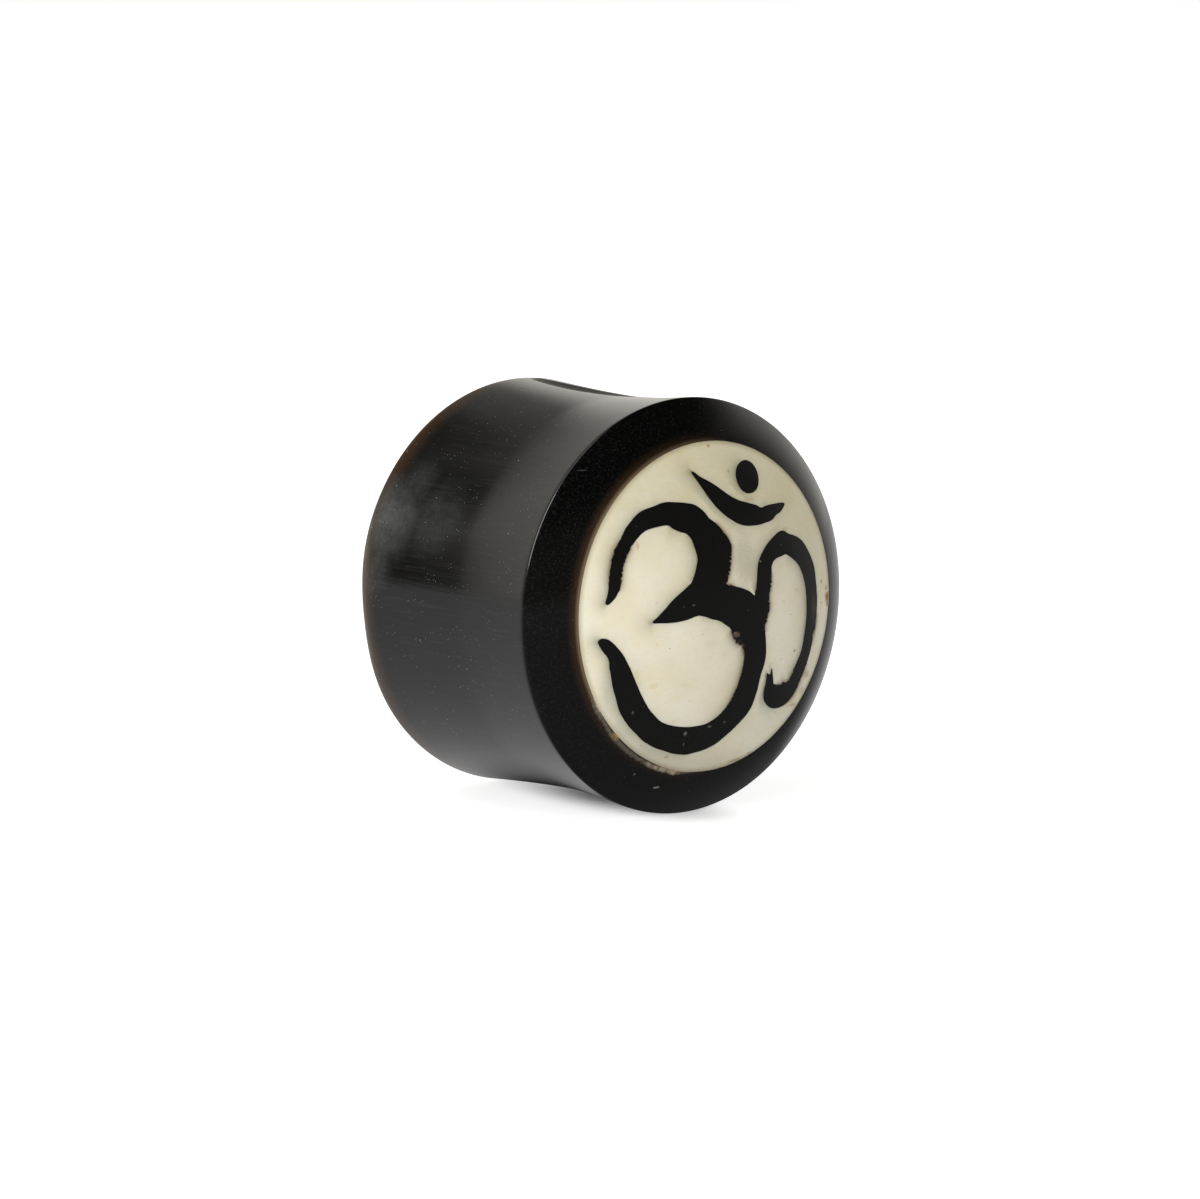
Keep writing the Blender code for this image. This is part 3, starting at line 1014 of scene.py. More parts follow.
def bone_material(sizes, colours):
    # Cattle bone, sawn, sanded and polished. It is cream with yellower clouds, and light goes a
    # little way into it. Its darkening beside the black inlays and towards its edge is painted
    # shade.
    # Fine pores, the ends of its canals, lie along the grain and have taken up brown polish.
    material, tree, output = new_material("polished_bone")
    place, from_seat, radius = distance_from_axis(tree, sizes, SEAT_OFF_AXIS)
    clouds = add_node(
        tree,
        "ShaderNodeTexNoise",
        {"Scale": 1 / (1.9 * MM), "Detail": 6.0, "Roughness": 0.6},
        {"Vector": place},
    ).outputs["Fac"]
    grain_place = add_node(
        tree, "ShaderNodeMapping", {"Scale": (0.12, 1.0, 1.0)}, {"Vector": place}
    ).outputs[0]
    grain = add_node(
        tree,
        "ShaderNodeTexNoise",
        {"Scale": 1 / (0.07 * MM), "Detail": 3.0, "Roughness": 0.6},
        {"Vector": grain_place},
    ).outputs["Fac"]
    pore_place = add_node(
        tree, "ShaderNodeMapping", {"Scale": (0.55, 1.0, 1.0)}, {"Vector": place}
    ).outputs[0]
    pores = specks(tree, pore_place, 0.21 * MM, 0.022 * MM, 0.07)
    flecks = specks(tree, place, 0.55 * MM, 0.10 * MM, 0.16)
    painted_inlay_shade = add_node(
        tree, "ShaderNodeAttribute", {"attribute_name": "painted_inlay_shade"}
    ).outputs["Fac"]
    # Painted shade darkens the bone towards its edge
    edge = add_node(
        tree,
        "ShaderNodeMapRange",
        {
            "From Min": sizes.disc_radius - 0.25 * MM,
            "From Max": sizes.disc_radius,
            "To Min": 0.0,
            "To Max": 0.5,
            "interpolation_type": "SMOOTHSTEP",
        },
        {"Value": radius},
    ).outputs[0]
    cloud_share = add_node(
        tree,
        "ShaderNodeMapRange",
        {"From Min": 0.40, "From Max": 0.72, "To Min": 0.0, "To Max": 0.5},
        {"Value": clouds},
    ).outputs[0]
    clouded = add_node(
        tree,
        "ShaderNodeMix",
        {"data_type": "RGBA", 6: rgba(colours.bone), 7: rgba(colours.aged_bone)},
        {0: cloud_share},
    ).outputs[2]
    grain_share = add_node(
        tree,
        "ShaderNodeMapRange",
        {"From Min": 0.5, "From Max": 0.8, "To Min": 0.0, "To Max": 0.4},
        {"Value": grain},
    ).outputs[0]
    grained = add_node(
        tree,
        "ShaderNodeMix",
        {"data_type": "RGBA", 7: rgba(colours.aged_bone)},
        {0: grain_share, 6: clouded},
    ).outputs[2]
    fleck_share = add_node(
        tree, "ShaderNodeMath", {"operation": "MULTIPLY", 1: 0.22}, {0: flecks}
    ).outputs[0]
    flecked = add_node(
        tree,
        "ShaderNodeMix",
        {"data_type": "RGBA", 7: rgba(linear("#bfa367"))},
        {0: fleck_share, 6: grained},
    ).outputs[2]
    # Painted shade greys the bone beside the inlays
    shaded = add_node(
        tree,
        "ShaderNodeMix",
        {"data_type": "RGBA", "blend_type": "MULTIPLY", 7: rgba(linear("#a8a99e"))},
        {0: painted_inlay_shade, 6: flecked},
    ).outputs[2]
    edge_shaded = add_node(
        tree,
        "ShaderNodeMix",
        {"data_type": "RGBA", "blend_type": "MULTIPLY", 7: rgba(linear("#b5a98a"))},
        {0: edge, 6: shaded},
    ).outputs[2]
    # Painted shade: the upper right is a little darker and greyer than the middle, and the lower
    # left edge darker and grey-green
    upwards = add_node(
        tree,
        "ShaderNodeVectorMath",
        {"operation": "DOT_PRODUCT", 1: (0.26, 0.0, 0.966)},
        {0: from_seat},
    ).outputs["Value"]
    upper = add_node(
        tree,
        "ShaderNodeMapRange",
        {
            "From Min": -0.10 * sizes.disc_radius,
            "From Max": 0.75 * sizes.disc_radius,
            "interpolation_type": "SMOOTHSTEP",
        },
        {"Value": upwards},
    ).outputs[0]
    upper_shaded = add_node(
        tree,
        "ShaderNodeMix",
        {"data_type": "RGBA", "blend_type": "MULTIPLY", 7: rgba(linear("#e9e7dc"))},
        {0: upper, 6: edge_shaded},
    ).outputs[2]
    lower = add_node(
        tree,
        "ShaderNodeMapRange",
        {
            "From Min": -0.72 * sizes.disc_radius,
            "From Max": -1.0 * sizes.disc_radius,
            "To Max": 0.6,
            "interpolation_type": "SMOOTHSTEP",
        },
        {"Value": upwards},
    ).outputs[0]
    lower_shaded = add_node(
        tree,
        "ShaderNodeMix",
        {"data_type": "RGBA", "blend_type": "MULTIPLY", 7: rgba(linear("#c2c3bb"))},
        {0: lower, 6: upper_shaded},
    ).outputs[2]
    marked = paint_marks(tree, sizes, place, lower_shaded, BONE_STAINS_AND_SHADE)
    torn_edge = add_node(
        tree, "ShaderNodeAttribute", {"attribute_name": "torn_edge"}
    ).outputs["Fac"]
    torn = add_node(
        tree,
        "ShaderNodeMix",
        {"data_type": "RGBA", 7: rgba(colours.pores)},
        {0: torn_edge, 6: marked},
    ).outputs[2]
    pored = add_node(
        tree,
        "ShaderNodeMix",
        {"data_type": "RGBA", 7: rgba(colours.pores)},
        {0: pores, 6: torn},
    ).outputs[2]
    bump = add_node(
        tree,
        "ShaderNodeBump",
        {"Strength": 0.3, "Distance": 0.008 * MM, "invert": True},
        {"Height": pores},
    ).outputs[0]
    shader = add_node(
        tree,
        "ShaderNodeBsdfPrincipled",
        {
            "IOR": 1.54,
            "Roughness": 0.38,
            "Subsurface Weight": 0.45,
            "Subsurface Radius": (1.0, 0.8, 0.5),
            "Subsurface Scale": 0.45 * MM,
        },
        {"Base Color": pored, "Normal": bump},
    )
    tree.links.new(shader.outputs[0], output.inputs["Surface"])
    return material


def inlay_material(sizes, colours):
    # Black horn again, sawn thin and set in flush, then polished with the bone. It is dead black
    # with a soft gloss, a few grains of pale bone dust, and brown glue in the chips of its edge.
    material, tree, output = new_material("polished_horn_inlay")
    place = add_node(tree, "ShaderNodeTexCoord").outputs["Object"]
    clouds = add_node(
        tree,
        "ShaderNodeTexNoise",
        {"Scale": 1 / (0.8 * MM), "Detail": 5.0, "Roughness": 0.6},
        {"Vector": place},
    ).outputs["Fac"]
    dust = specks(tree, place, 0.30 * MM, 0.018 * MM, 0.10)
    dusted = add_node(
        tree,
        "ShaderNodeMix",
        {"data_type": "RGBA", 6: rgba(colours.inlay), 7: rgba(linear("#8d8a80"))},
        {0: dust},
    ).outputs[2]
    marked = paint_marks(tree, sizes, place, dusted, INLAY_MARKS)
    roughness = add_node(
        tree,
        "ShaderNodeMapRange",
        {"From Min": 0.3, "From Max": 0.7, "To Min": 0.24, "To Max": 0.34},
        {"Value": clouds},
    ).outputs[0]
    shader = add_node(
        tree,
        "ShaderNodeBsdfPrincipled",
        {"IOR": 1.5},
        {"Base Color": marked, "Roughness": roughness},
    )
    tree.links.new(shader.outputs[0], output.inputs["Surface"])
    return material


def glue_material():
    # Old glue and bone dust that fill the seam round the disc, wiped off by hand. The film is dull,
    # grey-brown where it is thin, beige where bone dust has set in it, and dark in its cracks.
    material, tree, output = new_material("old_glue")
    place = add_node(tree, "ShaderNodeTexCoord").outputs["Object"]
    film = add_node(tree, "ShaderNodeAttribute", {"attribute_name": "film"}).outputs["Color"]
    dirt = add_node(
        tree,
        "ShaderNodeTexNoise",
        {"Scale": 1 / (0.11 * MM), "Detail": 4.0, "Roughness": 0.7},
        {"Vector": place},
    ).outputs["Fac"]
    dirt_share = add_node(
        tree,
        "ShaderNodeMapRange",
        {"From Min": 0.40, "From Max": 0.66, "To Min": 0.0, "To Max": 0.6},
        {"Value": dirt},
    ).outputs[0]
    colour = add_node(
        tree,
        "ShaderNodeMix",
        {"data_type": "RGBA", "blend_type": "MULTIPLY", 7: rgba(linear("#5a4632"))},
        {0: dirt_share, 6: film},
    ).outputs[2]
    shader = add_node(
        tree, "ShaderNodeBsdfPrincipled", {"IOR": 1.5, "Roughness": 0.45}, {"Base Color": colour}
    )
    tree.links.new(shader.outputs[0], output.inputs["Surface"])
    return material


class PLUG_OT_horn_body(bpy.types.Operator):
    """Turn the double-flared horn body and give it its polish"""

    bl_idname = "ear_plug.horn_body"
    bl_label = "Horn Body"

    def execute(self, context):
        sizes = context.scene.plug_sizes
        seat_radius = sizes.disc_radius + sizes.seam
        seat_z = disc_edge_z(sizes) - sizes.disc_thickness - sizes.seam
        crease_z = front_crease_z(sizes)
        profile = [(0.0, seat_z), (seat_radius, seat_z)]
        rim = spread(seat_radius, sizes.flare_radius, RIM_RINGS)
        profile += [(radius, rim_z(sizes, radius)) for radius in rim[:-1]]
        worn_length = crease_z - sizes.back_edge_rise
        for share in spread(0.0, 1.0, SADDLE_RINGS):
            profile.append((saddle_radius(sizes, share), crease_z - worn_length * share))
        # A power of 1 rounds the back's edge like an ellipse, and a higher power flattens it
        flatness = 1.4
        flat_radius = sizes.flare_radius - sizes.back_edge_width
        profile += [
            (
                flat_radius + sizes.back_edge_width * math.cos(a) ** flatness,
                sizes.back_edge_rise * (1 - math.sin(a) ** flatness),
            )
            for a in spread(0.0, math.pi / 2, BACK_RINGS)[1:]
        ]
        profile.append((0.0, 0.0))
        bm = turn(profile, BODY_STEPS)
        self.wear(bm, sizes)
        creases = [
            edge
            for edge in bm.edges
            if all(v.co.xy.length > sizes.flare_radius - 0.01 * MM for v in edge.verts)
            and abs(edge.verts[0].co.z - edge.verts[1].co.z) < 0.001 * MM
        ]
        bmesh.ops.bevel(
            bm,
            geom=creases,
            offset=sizes.crease_round,
            offset_type="OFFSET",
            segments=4,
            profile=0.5,
            affect="EDGES",
            material=-1,
        )
        shift_seat(bm, sizes)
        body = to_object(bm, "horn_body_polished")
        material = horn_material(sizes, context.scene.plug_colours)
        finish_piece(body, sizes, material, "horn_body")
        return {"FINISHED"}

    def wear(self, bm, sizes):
        """Flattens the back flare's left edge, and sinks a shallow lengthwise scar into the top,
        where the horn's layers have opened."""
        # Angles are in degrees from the plug's right, anticlockwise as its face is seen
        wear_angle = 187
        wear_spread = 12
        wear_starts_at = 0.95
        scar_angle = 85.5
        scar_half_angle = 5.3
        scar_below_crease = 7.0 * MM
        scar_half_length = 3.5 * MM
        scar_depth = 0.18 * MM
        crease_z = front_crease_z(sizes)
        worn_length = crease_z - sizes.back_edge_rise
        flat_radius = sizes.flare_radius - sizes.back_edge_width
        scar = bm.verts.layers.float.new("scar")
        for vertex in bm.verts:
            if vertex.co.xy.length < flat_radius:
                continue
            outwards = vertex.co.xy.normalized()
            below_crease = crease_z - vertex.co.z
            angle = math.degrees(math.atan2(vertex.co.y, vertex.co.x)) % 360
            past_start = max(0.0, below_crease / worn_length - wear_starts_at)
            near_back = min(1.0, past_start / (1 - wear_starts_at)) ** 2
            near_edge = min(1.0, (vertex.co.xy.length - flat_radius) / sizes.back_edge_width)
            at_left = math.exp(-(((angle - wear_angle) / wear_spread) ** 2) / 2)
            vertex.co.xy -= outwards * sizes.back_wear * near_back * near_edge * at_left
            across = (angle - scar_angle) / scar_half_angle
            along = (below_crease - scar_below_crease) / scar_half_length
            inside = max(0.0, 1 - across**2 - along**2)
            vertex.co.xy -= outwards * scar_depth * inside
            vertex[scar] = min(1.0, 5 * inside)


class PLUG_OT_bone_disc(bpy.types.Operator):
    """Turn the domed bone disc and saw the sign's recess into it"""

    bl_idname = "ear_plug.bone_disc"
    bl_label = "Bone Disc"

    def execute(self, context):
        sizes = context.scene.plug_sizes
        low_z = disc_edge_z(sizes) - sizes.disc_thickness
        blank = dome_blank(sizes, low_z)
        shift_seat(blank, sizes)
        disc = to_object(blank, "bone_disc_polished")
        floor_z = disc_edge_z(sizes) - sizes.recess_below_edge
        above = sizes.length + sizes.disc_crown
        apply_boolean(disc, "DIFFERENCE", sign_prisms(sizes, sizes.seam, floor_z, above))
        self.mark_inlay_shade_and_tears(disc, sizes)
        material = bone_material(sizes, context.scene.plug_colours)
        finish_piece(disc, sizes, material, "bone_disc")
        return {"FINISHED"}

    def mark_inlay_shade_and_tears(self, disc, sizes):
        """Stores two shares: how much painted shade greys the bone beside the inlays, and how torn
        and stained it is where the saw frayed it. The painted shade is stronger along the pieces'
        left sides."""
        shade_reach = 0.26 * MM
        torn_reach = 0.09 * MM
        radius = sizes.disc_radius
        points = []
        outwards = []
        for outline in sign_outlines(radius, 0.0):
            for before, point, after in zip(
                outline[-1:] + outline[:-1], outline, outline[1:] + outline[:1]
            ):
                along = (after - before).normalized()
                points.append(point)
                outwards.append(Vector((along.y, -along.x)))
        tree = kdtree.KDTree(len(points))
        for i, point in enumerate(points):
            tree.insert((point.x, point.y, 0.0), i)
        tree.balance()
        grey = disc.data.attributes.new("painted_inlay_shade", "FLOAT", "POINT").data
        torn = disc.data.attributes.new("torn_edge", "FLOAT", "POINT").data
        for vertex, shade_share, torn_share in zip(disc.data.vertices, grey, torn):
            _, i, away = tree.find((vertex.co.x, vertex.co.y, 0.0))
            to_left = max(0.0, -outwards[i].x)
            # Painted shade, stronger on the bone to the left of a piece, fading with distance
            shade_share.value = (0.15 + 0.85 * to_left) * math.exp(-away / shade_reach)
            frayed = 0.0
            for x, y, reach, amount in FRAYED:
                from_middle = (points[i] - Vector((x, y)) * radius).length / (reach * radius)
                frayed = max(frayed, amount * (1 - from_middle))
            torn_share.value = min(1.0, 3 * frayed) * math.exp(-away / torn_reach)


class PLUG_OT_inlays(bpy.types.Operator):
    """Saw the sign's three black pieces and dome their tops with the bone"""

    bl_idname = "ear_plug.inlays"
    bl_label = "Inlays"

    def execute(self, context):
        sizes = context.scene.plug_sizes
        material = inlay_material(sizes, context.scene.plug_colours)
        back_z = disc_edge_z(sizes) - sizes.recess_below_edge + sizes.seam
        above = sizes.length + sizes.disc_crown
        names = ("om_inlay", "crescent_inlay", "dot_inlay")
        pieces = sign_prisms(sizes, 0.0, back_z - sizes.disc_thickness, above)
        for name, piece in zip(names, pieces):
            blank = to_object(dome_blank(sizes, back_z), "blank")
            apply_boolean(piece, "INTERSECT", [blank])
            piece.name = f"{name}_polished"
            finish_piece(piece, sizes, material, name)
        return {"FINISHED"}


class PLUG_OT_glue_seam(bpy.types.Operator):
    """Lay the line of old glue round the bone disc"""

    bl_idname = "ear_plug.glue_seam"
    bl_label = "Glue Seam"

    def execute(self, context):
        sizes = context.scene.plug_sizes
        colours = context.scene.plug_colours
        inner = sizes.disc_radius - 0.015 * MM
        unit = 0.05 * MM
        proud = 0.003 * MM
        thickness = 0.03 * MM
        bm = bmesh.new()
        top = [bm.verts.new((inner + share * unit, 0.0, 0.0)) for share in spread(0.0, 1.0, 9)]
        edges = [bm.edges.new(pair) for pair in zip(top, top[1:])]
        bmesh.ops.spin(
            bm,
            geom=top + edges,
            cent=(0, 0, 0),
            axis=(0, 0, 1),
            angle=math.tau,
            steps=SEAM_STEPS,
            use_merge=True,
        )
        film = bm.verts.layers.float_color.new("film")
        for vertex in bm.verts:
            share = (vertex.co.xy.length - inner) / unit
            angle = math.atan2(vertex.co.y, vertex.co.x)
            flat = Vector((math.cos(angle), math.sin(angle)))
            flat = flat * (inner + share * self.width(angle)) + Vector(SEAT_OFF_AXIS)
            height = face_z(sizes, flat.length) + proud * (1 - abs(2 * share - 1))
            vertex.co = (flat.x, flat.y, height)
            vertex[film] = rgba(self.film_colour(colours, angle, share))
        sunk = bmesh.ops.extrude_face_region(bm, geom=list(bm.faces))
        lower = [part for part in sunk["geom"] if isinstance(part, bmesh.types.BMVert)]
        bmesh.ops.translate(bm, verts=lower, vec=(0, 0, -thickness))
        bmesh.ops.recalc_face_normals(bm, faces=bm.faces)
        seam = to_object(bm, "glue_seam")
        finish_piece(seam, sizes, glue_material())
        return {"FINISHED"}

    def stretch(self, angle, start, end, soften=4):
        """1 between the two angles in degrees, going to 0 past either."""
        degrees = math.degrees(angle)
        inside = min(degrees - start, end - degrees) / soften + 0.5
        return min(1.0, max(0.0, inside))

    def ragged(self, angle, grain):
        """A smooth random share, from about -1 to 1, that changes along the line."""
        spot = Vector((math.cos(angle), math.sin(angle), 0.3))
        return noise.noise(spot / grain)

    def width(self, angle):
        """Width of the glue line, which fills the place of the lost sliver too."""
        wide = self.stretch(angle, *WIDE_GLUE)
        rough = 1 + 0.35 * self.ragged(angle, 0.11) + 0.25 * self.ragged(angle, 0.03)
        return (0.028 + 0.20 * wide * rough) * MM

    def film_colour(self, colours, angle, share):
        """Colour of the film, across the line from the bone at 0 to the horn at 1. Angles are in
        degrees anticlockwise from the plug's right, so its lower left is near -135."""
        left = self.stretch(abs(angle), 118, 400, 30)
        hairline = Vector(colours.glue).lerp(Vector(linear("#6b5a42")), left)
        grey = Vector(linear("#5f5a4c"))
        beige = Vector(linear("#b5a28b"))
        ochre = Vector(linear("#a9813f"))
        dark = Vector(linear("#1a110b"))
        wide = self.stretch(angle, *WIDE_GLUE)
        colour = hairline.lerp(grey, wide)
        dusty = self.stretch(angle, -117, -103, 3) * (0.65 + 0.8 * self.ragged(angle, 0.02))
        colour = colour.lerp(beige, min(1.0, max(0.0, dusty)))
        near_bone = max(0.0, 1 - share / 0.3)
        pale = max(self.stretch(angle, -152, -141, 3), self.stretch(angle, -105, -97, 3))
        colour = colour.lerp(beige, pale * min(1.0, 2 * near_bone))
        cracked = self.stretch(angle, -146, -112, 3)
        crack = 0.9 * cracked * min(1.0, 2.2 * near_bone)
        crack = max(crack, cracked * max(0.0, 2.2 * self.ragged(angle, 0.025) - 0.5) * (1 - share))
        colour = colour.lerp(dark, min(1.0, crack))
        golden = self.stretch(angle, -136.5, -134, 1.5) * (1 - share)
        colour = colour.lerp(ochre, golden)
        outer = wide * max(0.0, (share - 0.6) / 0.4)
        return colour.lerp(Vector(linear("#1a120c")), 0.8 * outer)


def direction(azimuth, elevation):
    """The way out from the plug, at an azimuth from straight in front and an elevation."""
    flat = math.cos(elevation)
    return Vector((math.sin(azimuth) * flat, -math.cos(azimuth) * flat, math.sin(elevation)))


class PLUG_OT_stage(bpy.types.Operator):
    """Set up the pale floor, the soft light and the camera"""

    bl_idname = "ear_plug.stage"
    bl_label = "Stage"

    def execute(self, context):
        scene = context.scene
        sizes = scene.plug_sizes
        crease = plug_to_frame(sizes) @ Vector((0.0, 0.0, front_crease_z(sizes)))
        self.add_floor()
        self.add_camera(scene, crease)
        # Each lamp's azimuth and elevation in degrees, distance and width in metres, and watts
        key = self.add_light("key_softbox", crease, -80, 2, 0.25, 0.10, 0.66)
        key.visible_glossy = False
        edge = self.add_light("edge_softbox", crease, -86, 36, 0.25, 0.16, 0.42)
        edge.visible_diffuse = False
        self.add_light("top_softbox", crease, -120, 66, 0.30, 0.20, 0.18)
        fill = self.add_light("fill", crease, -8, 4, 0.35, 0.30, 1.60)
        fill.visible_glossy = False
        self.set_world(scene)
        scene.view_settings.view_transform = "Standard"
        scene.view_settings.look = "None"
        return {"FINISHED"}

    def add_floor(self):
        """A white table. The plug sees it bright behind and to the left, and dim elsewhere."""
        bm = bmesh.new()
        bmesh.ops.create_grid(bm, x_segments=1, y_segments=1, size=1.0)
        floor = to_object(bm, "studio_floor")
        material, tree, output = new_material("white_table")
        place = add_node(tree, "ShaderNodeTexCoord").outputs["Object"]
        from_back = self.angle_from_back(tree, place)
        bright = self.window(tree, from_back, (-130, -100), (118, 78))
        seen = add_node(
            tree, "ShaderNodeMapRange", {"To Min": 0.12, "To Max": 0.6}, {"Value": bright}
        ).outputs[0]
        away = add_node(
            tree, "ShaderNodeVectorMath", {"operation": "LENGTH"}, {0: place}
        ).outputs["Value"]
        lift = add_node(
            tree,
            "ShaderNodeMapRange",
            {"From Min": 5 * MM, "From Max": 32 * MM, "To Min": 0.75, "To Max": 1.0},
            {"Value": away},
        ).outputs[0]
        # Little light reaches the table close under the plug, and the plug sees more of this
        beneath = self.beneath(tree, place, (0.0, 0.0), (2.8, 7.5), 0.12)
        behind = self.beneath(tree, place, (0.4, 2.8), (4.7, 6.5), 0.34)
        seen = add_node(
            tree, "ShaderNodeMath", {"operation": "MULTIPLY"}, {0: seen, 1: behind}
        ).outputs[0]
        lift = add_node(
            tree, "ShaderNodeMath", {"operation": "MULTIPLY"}, {0: lift, 1: beneath}
        ).outputs[0]
        to_camera = add_node(tree, "ShaderNodeLightPath").outputs["Is Camera Ray"]
        strength = add_node(
            tree, "ShaderNodeMix", {"data_type": "FLOAT"}, {0: to_camera, 2: seen, 3: lift}
        ).outputs[0]
        whiteness = add_node(
            tree, "ShaderNodeMapRange", {"To Min": 0.1, "To Max": 0.8}, {"Value": to_camera}
        ).outputs[0]
        diffuse = add_node(tree, "ShaderNodeBsdfDiffuse", {}, {"Color": whiteness}).outputs[0]
        glow = add_node(tree, "ShaderNodeEmission", {}, {"Strength": strength}).outputs[0]
        table = add_node(tree, "ShaderNodeAddShader", {}, {0: diffuse, 1: glow})
        tree.links.new(table.outputs[0], output.inputs["Surface"])
        floor.data.materials.append(material)

    def beneath(self, tree, place, middle, reach, dark_share):
        """1 outside an oval on the table, and nearly 0 within the dark share of its reach. Its
        middle and reach are in millimetres."""
        offset = add_node(
            tree,
            "ShaderNodeVectorMath",
            {"operation": "SUBTRACT", 1: (middle[0] * MM, middle[1] * MM, 0.0)},
            {0: place},
        ).outputs[0]
        scaled = add_node(
            tree,
            "ShaderNodeVectorMath",
            {"operation": "MULTIPLY", 1: (1 / (reach[0] * MM), 1 / (reach[1] * MM), 0.0)},
            {0: offset},
        ).outputs[0]
        away = add_node(
            tree, "ShaderNodeVectorMath", {"operation": "LENGTH"}, {0: scaled}
        ).outputs["Value"]
        return add_node(
            tree,
            "ShaderNodeMapRange",
            {
                "From Min": dark_share,
                "From Max": 1.1,
                "To Min": 0.02,
                "To Max": 1.0,
                "interpolation_type": "SMOOTHSTEP",
            },
            {"Value": away},
        ).outputs[0]

    def angle_from_back(self, tree, way):
        """The angle in degrees round from +Y towards +X."""
        axes = add_node(tree, "ShaderNodeSeparateXYZ", {}, {0: way}).outputs
        angle = add_node(
            tree, "ShaderNodeMath", {"operation": "ARCTAN2"}, {0: axes["X"], 1: axes["Y"]}
        ).outputs[0]
        return add_node(
            tree, "ShaderNodeMath", {"operation": "DEGREES"}, {0: angle}
        ).outputs[0]

    def window(self, tree, value, start, end):
        """1 between the two edges. Each edge goes smoothly from 0 at its first value to 1."""
        edges = [
            add_node(
                tree,
                "ShaderNodeMapRange",
                {"From Min": low, "From Max": high, "interpolation_type": "SMOOTHSTEP"},
                {"Value": value},
            ).outputs[0]
            for low, high in (start, end)
        ]
        return add_node(
            tree, "ShaderNodeMath", {"operation": "MULTIPLY"}, {0: edges[0], 1: edges[1]}
        ).outputs[0]

    def add_camera(self, scene, crease):
        """Aims so that the front flare's middle lies where the photograph has it."""
        studio = scene.plug_studio
        frame_width = 1200
        right_of_middle = 84.7
        below_middle = 6.3
        back = direction(studio.azimuth, studio.elevation)
        right = Vector((math.cos(studio.azimuth), math.sin(studio.azimuth), 0.0))
        up = back.cross(right)
        data = bpy.data.cameras.new("camera")
        data.lens = studio.lens
        data.sensor_width = 36.0
        pixel = studio.distance * data.sensor_width / data.lens / frame_width
        aim = crease - right * right_of_middle * pixel + up * below_middle * pixel
        camera = bpy.data.objects.new("camera", data)
        camera.location = crease + back * studio.distance
        camera.rotation_euler = (aim - camera.location).to_track_quat("-Z", "Y").to_euler()
        data.clip_start = 0.01
        data.clip_end = 10.0
        scene.collection.objects.link(camera)
        scene.camera = camera

    def add_light(self, name, aim, azimuth, elevation, distance, size, power):
        back = direction(math.radians(azimuth), math.radians(elevation))
        data = bpy.data.lights.new(name, "AREA")
        data.shape = "SQUARE"
        data.size = size
        data.energy = power
        light = bpy.data.objects.new(name, data)
        light.location = aim + back * distance
        light.rotation_euler = (-back).to_track_quat("-Z", "Y").to_euler()
        light.visible_camera = False
        bpy.context.scene.collection.objects.link(light)
        return light

    def set_world(self, scene):
        """A white backdrop round the back and right, a dim room to the left, dark elsewhere. The
        backdrop's top is cut off at a slant on either side, and a dimmer strip lies above it.
        Angles are in degrees round from straight behind, and a height is an elevation's sine."""
        world = bpy.data.worlds.new("studio")
        world.use_nodes = True
        tree = world.node_tree
        tree.nodes.clear()
        way = add_node(tree, "ShaderNodeTexCoord").outputs["Generated"]
        from_back = self.angle_from_back(tree, way)
        height = add_node(tree, "ShaderNodeSeparateXYZ", {}, {0: way}).outputs["Z"]
        slant = add_node(
            tree,
            "ShaderNodeMapRange",
            {"From Min": 0.375, "From Max": 0.875, "To Min": 0.0, "To Max": 49.3},
            {"Value": height},
        ).outputs[0]
        from_corner = add_node(
            tree, "ShaderNodeMath", {"operation": "SUBTRACT"}, {0: from_back, 1: slant}
        ).outputs[0]
        to_right = self.window(tree, from_back, (2, 42), (68, 48))
        drop = add_node(
            tree, "ShaderNodeMath", {"operation": "MULTIPLY", 1: 0.18}, {0: to_right}
        ).outputs[0]
        dropped = add_node(
            tree, "ShaderNodeMath", {"operation": "ADD"}, {0: height, 1: drop}
        ).outputs[0]
        level = self.window(tree, dropped, (-1.0, -0.9), (0.71, 0.45))
        strip_above = self.window(tree, height, (-1.0, -0.9), (0.74, 0.64))
        above = self.window(tree, from_back, (-36, -8), (62, 48))
        above = add_node(
            tree, "ShaderNodeMath", {"operation": "MULTIPLY"}, {0: above, 1: strip_above}
        ).outputs[0]
        above = add_node(
            tree, "ShaderNodeMath", {"operation": "MULTIPLY", 1: 0.28}, {0: above}
        ).outputs[0]
        left_edge = self.window(tree, from_corner, (-47, -25), (500, 400))
        right_edge = self.window(tree, from_back, (-200, -190), (135, 65))
        backdrop = add_node(
            tree, "ShaderNodeMath", {"operation": "MULTIPLY"}, {0: left_edge, 1: right_edge}
        ).outputs[0]
        room = self.window(tree, from_back, (-125, -95), (-20, -35))
        strip = self.window(tree, from_back, (-110, -80), (-46, -52))
        room = add_node(
            tree, "ShaderNodeMath", {"operation": "MULTIPLY", 1: 0.12}, {0: room}
        ).outputs[0]
        strip = add_node(
            tree, "ShaderNodeMath", {"operation": "MULTIPLY", 1: 0.55}, {0: strip}
        ).outputs[0]
        beside = add_node(
            tree, "ShaderNodeMath", {"operation": "MAXIMUM"}, {0: room, 1: strip}
        ).outputs[0]
        brighter = add_node(
            tree, "ShaderNodeMath", {"operation": "MAXIMUM"}, {0: backdrop, 1: beside}
        ).outputs[0]
        lit = add_node(
            tree, "ShaderNodeMath", {"operation": "MULTIPLY"}, {0: brighter, 1: level}
        ).outputs[0]
        low = self.window(tree, height, (-1.0, -0.9), (0.60, 0.25))
        low = add_node(
            tree, "ShaderNodeMath", {"operation": "MULTIPLY", 1: 0.09}, {0: low}
        ).outputs[0]
        for share in (low, above):
            lit = add_node(
                tree, "ShaderNodeMath", {"operation": "MAXIMUM"}, {0: lit, 1: share}
            ).outputs[0]
        strength = add_node(
            tree, "ShaderNodeMapRange", {"To Min": 0.02, "To Max": 0.9}, {"Value": lit}
        ).outputs[0]
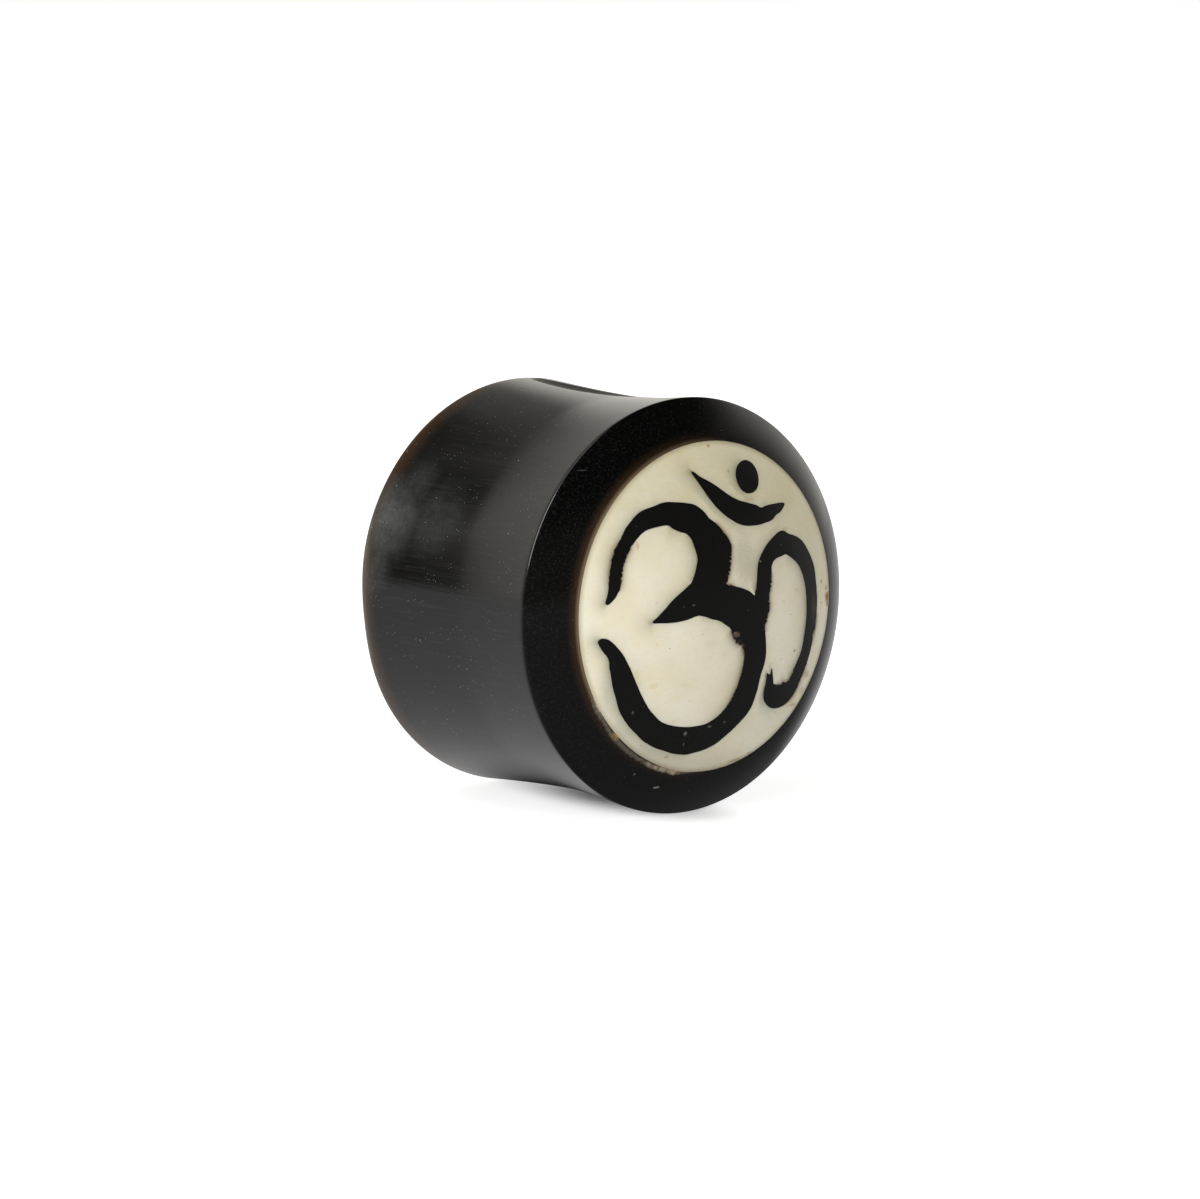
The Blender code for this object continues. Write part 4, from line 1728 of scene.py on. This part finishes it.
        # The camera sees the backdrop plain white
        to_camera = add_node(tree, "ShaderNodeLightPath").outputs["Is Camera Ray"]
        shown = add_node(
            tree, "ShaderNodeMix", {"data_type": "FLOAT", 3: 1.0}, {0: to_camera, 2: strength}
        ).outputs[0]
        colour = add_node(
            tree,
            "ShaderNodeMix",
            {"data_type": "RGBA", 6: rgba(linear("#fffcf3")), 7: rgba(linear("#ffffff"))},
            {0: to_camera},
        ).outputs[2]
        sky = add_node(tree, "ShaderNodeBackground", {}, {"Color": colour, "Strength": shown})
        output = add_node(tree, "ShaderNodeOutputWorld")
        tree.links.new(sky.outputs[0], output.inputs["Surface"])
        scene.world = world


class VIEW3D_PT_ear_plug(bpy.types.Panel):
    """Lists the plug's operators, sizes and colours"""

    bl_label = "Ear Plug"
    bl_idname = "VIEW3D_PT_ear_plug"
    bl_space_type = "VIEW_3D"
    bl_region_type = "UI"
    bl_category = "Ear Plug"

    def draw(self, context):
        layout = self.layout
        for operator in OPERATORS:
            layout.operator(operator.bl_idname)
        for group in ("plug_sizes", "plug_colours", "plug_studio"):
            settings = getattr(context.scene, group)
            box = layout.box()
            for name in settings.__annotations__:
                box.prop(settings, name)


OPERATORS = (
    PLUG_OT_horn_body,
    PLUG_OT_bone_disc,
    PLUG_OT_inlays,
    PLUG_OT_glue_seam,
    PLUG_OT_stage,
)
CLASSES = (PlugSizes, PlugColours, PlugStudio, *OPERATORS, VIEW3D_PT_ear_plug)


def register():
    for cls in CLASSES:
        bpy.utils.register_class(cls)
    bpy.types.Scene.plug_sizes = bpy.props.PointerProperty(type=PlugSizes)
    bpy.types.Scene.plug_colours = bpy.props.PointerProperty(type=PlugColours)
    bpy.types.Scene.plug_studio = bpy.props.PointerProperty(type=PlugStudio)


def unregister():
    del bpy.types.Scene.plug_studio
    del bpy.types.Scene.plug_colours
    del bpy.types.Scene.plug_sizes
    for cls in reversed(CLASSES):
        bpy.utils.unregister_class(cls)


def main():
    register()
    bpy.ops.ear_plug.horn_body()
    bpy.ops.ear_plug.bone_disc()
    bpy.ops.ear_plug.inlays()
    bpy.ops.ear_plug.glue_seam()
    bpy.ops.ear_plug.stage()


if __name__ == "__main__":
    main()
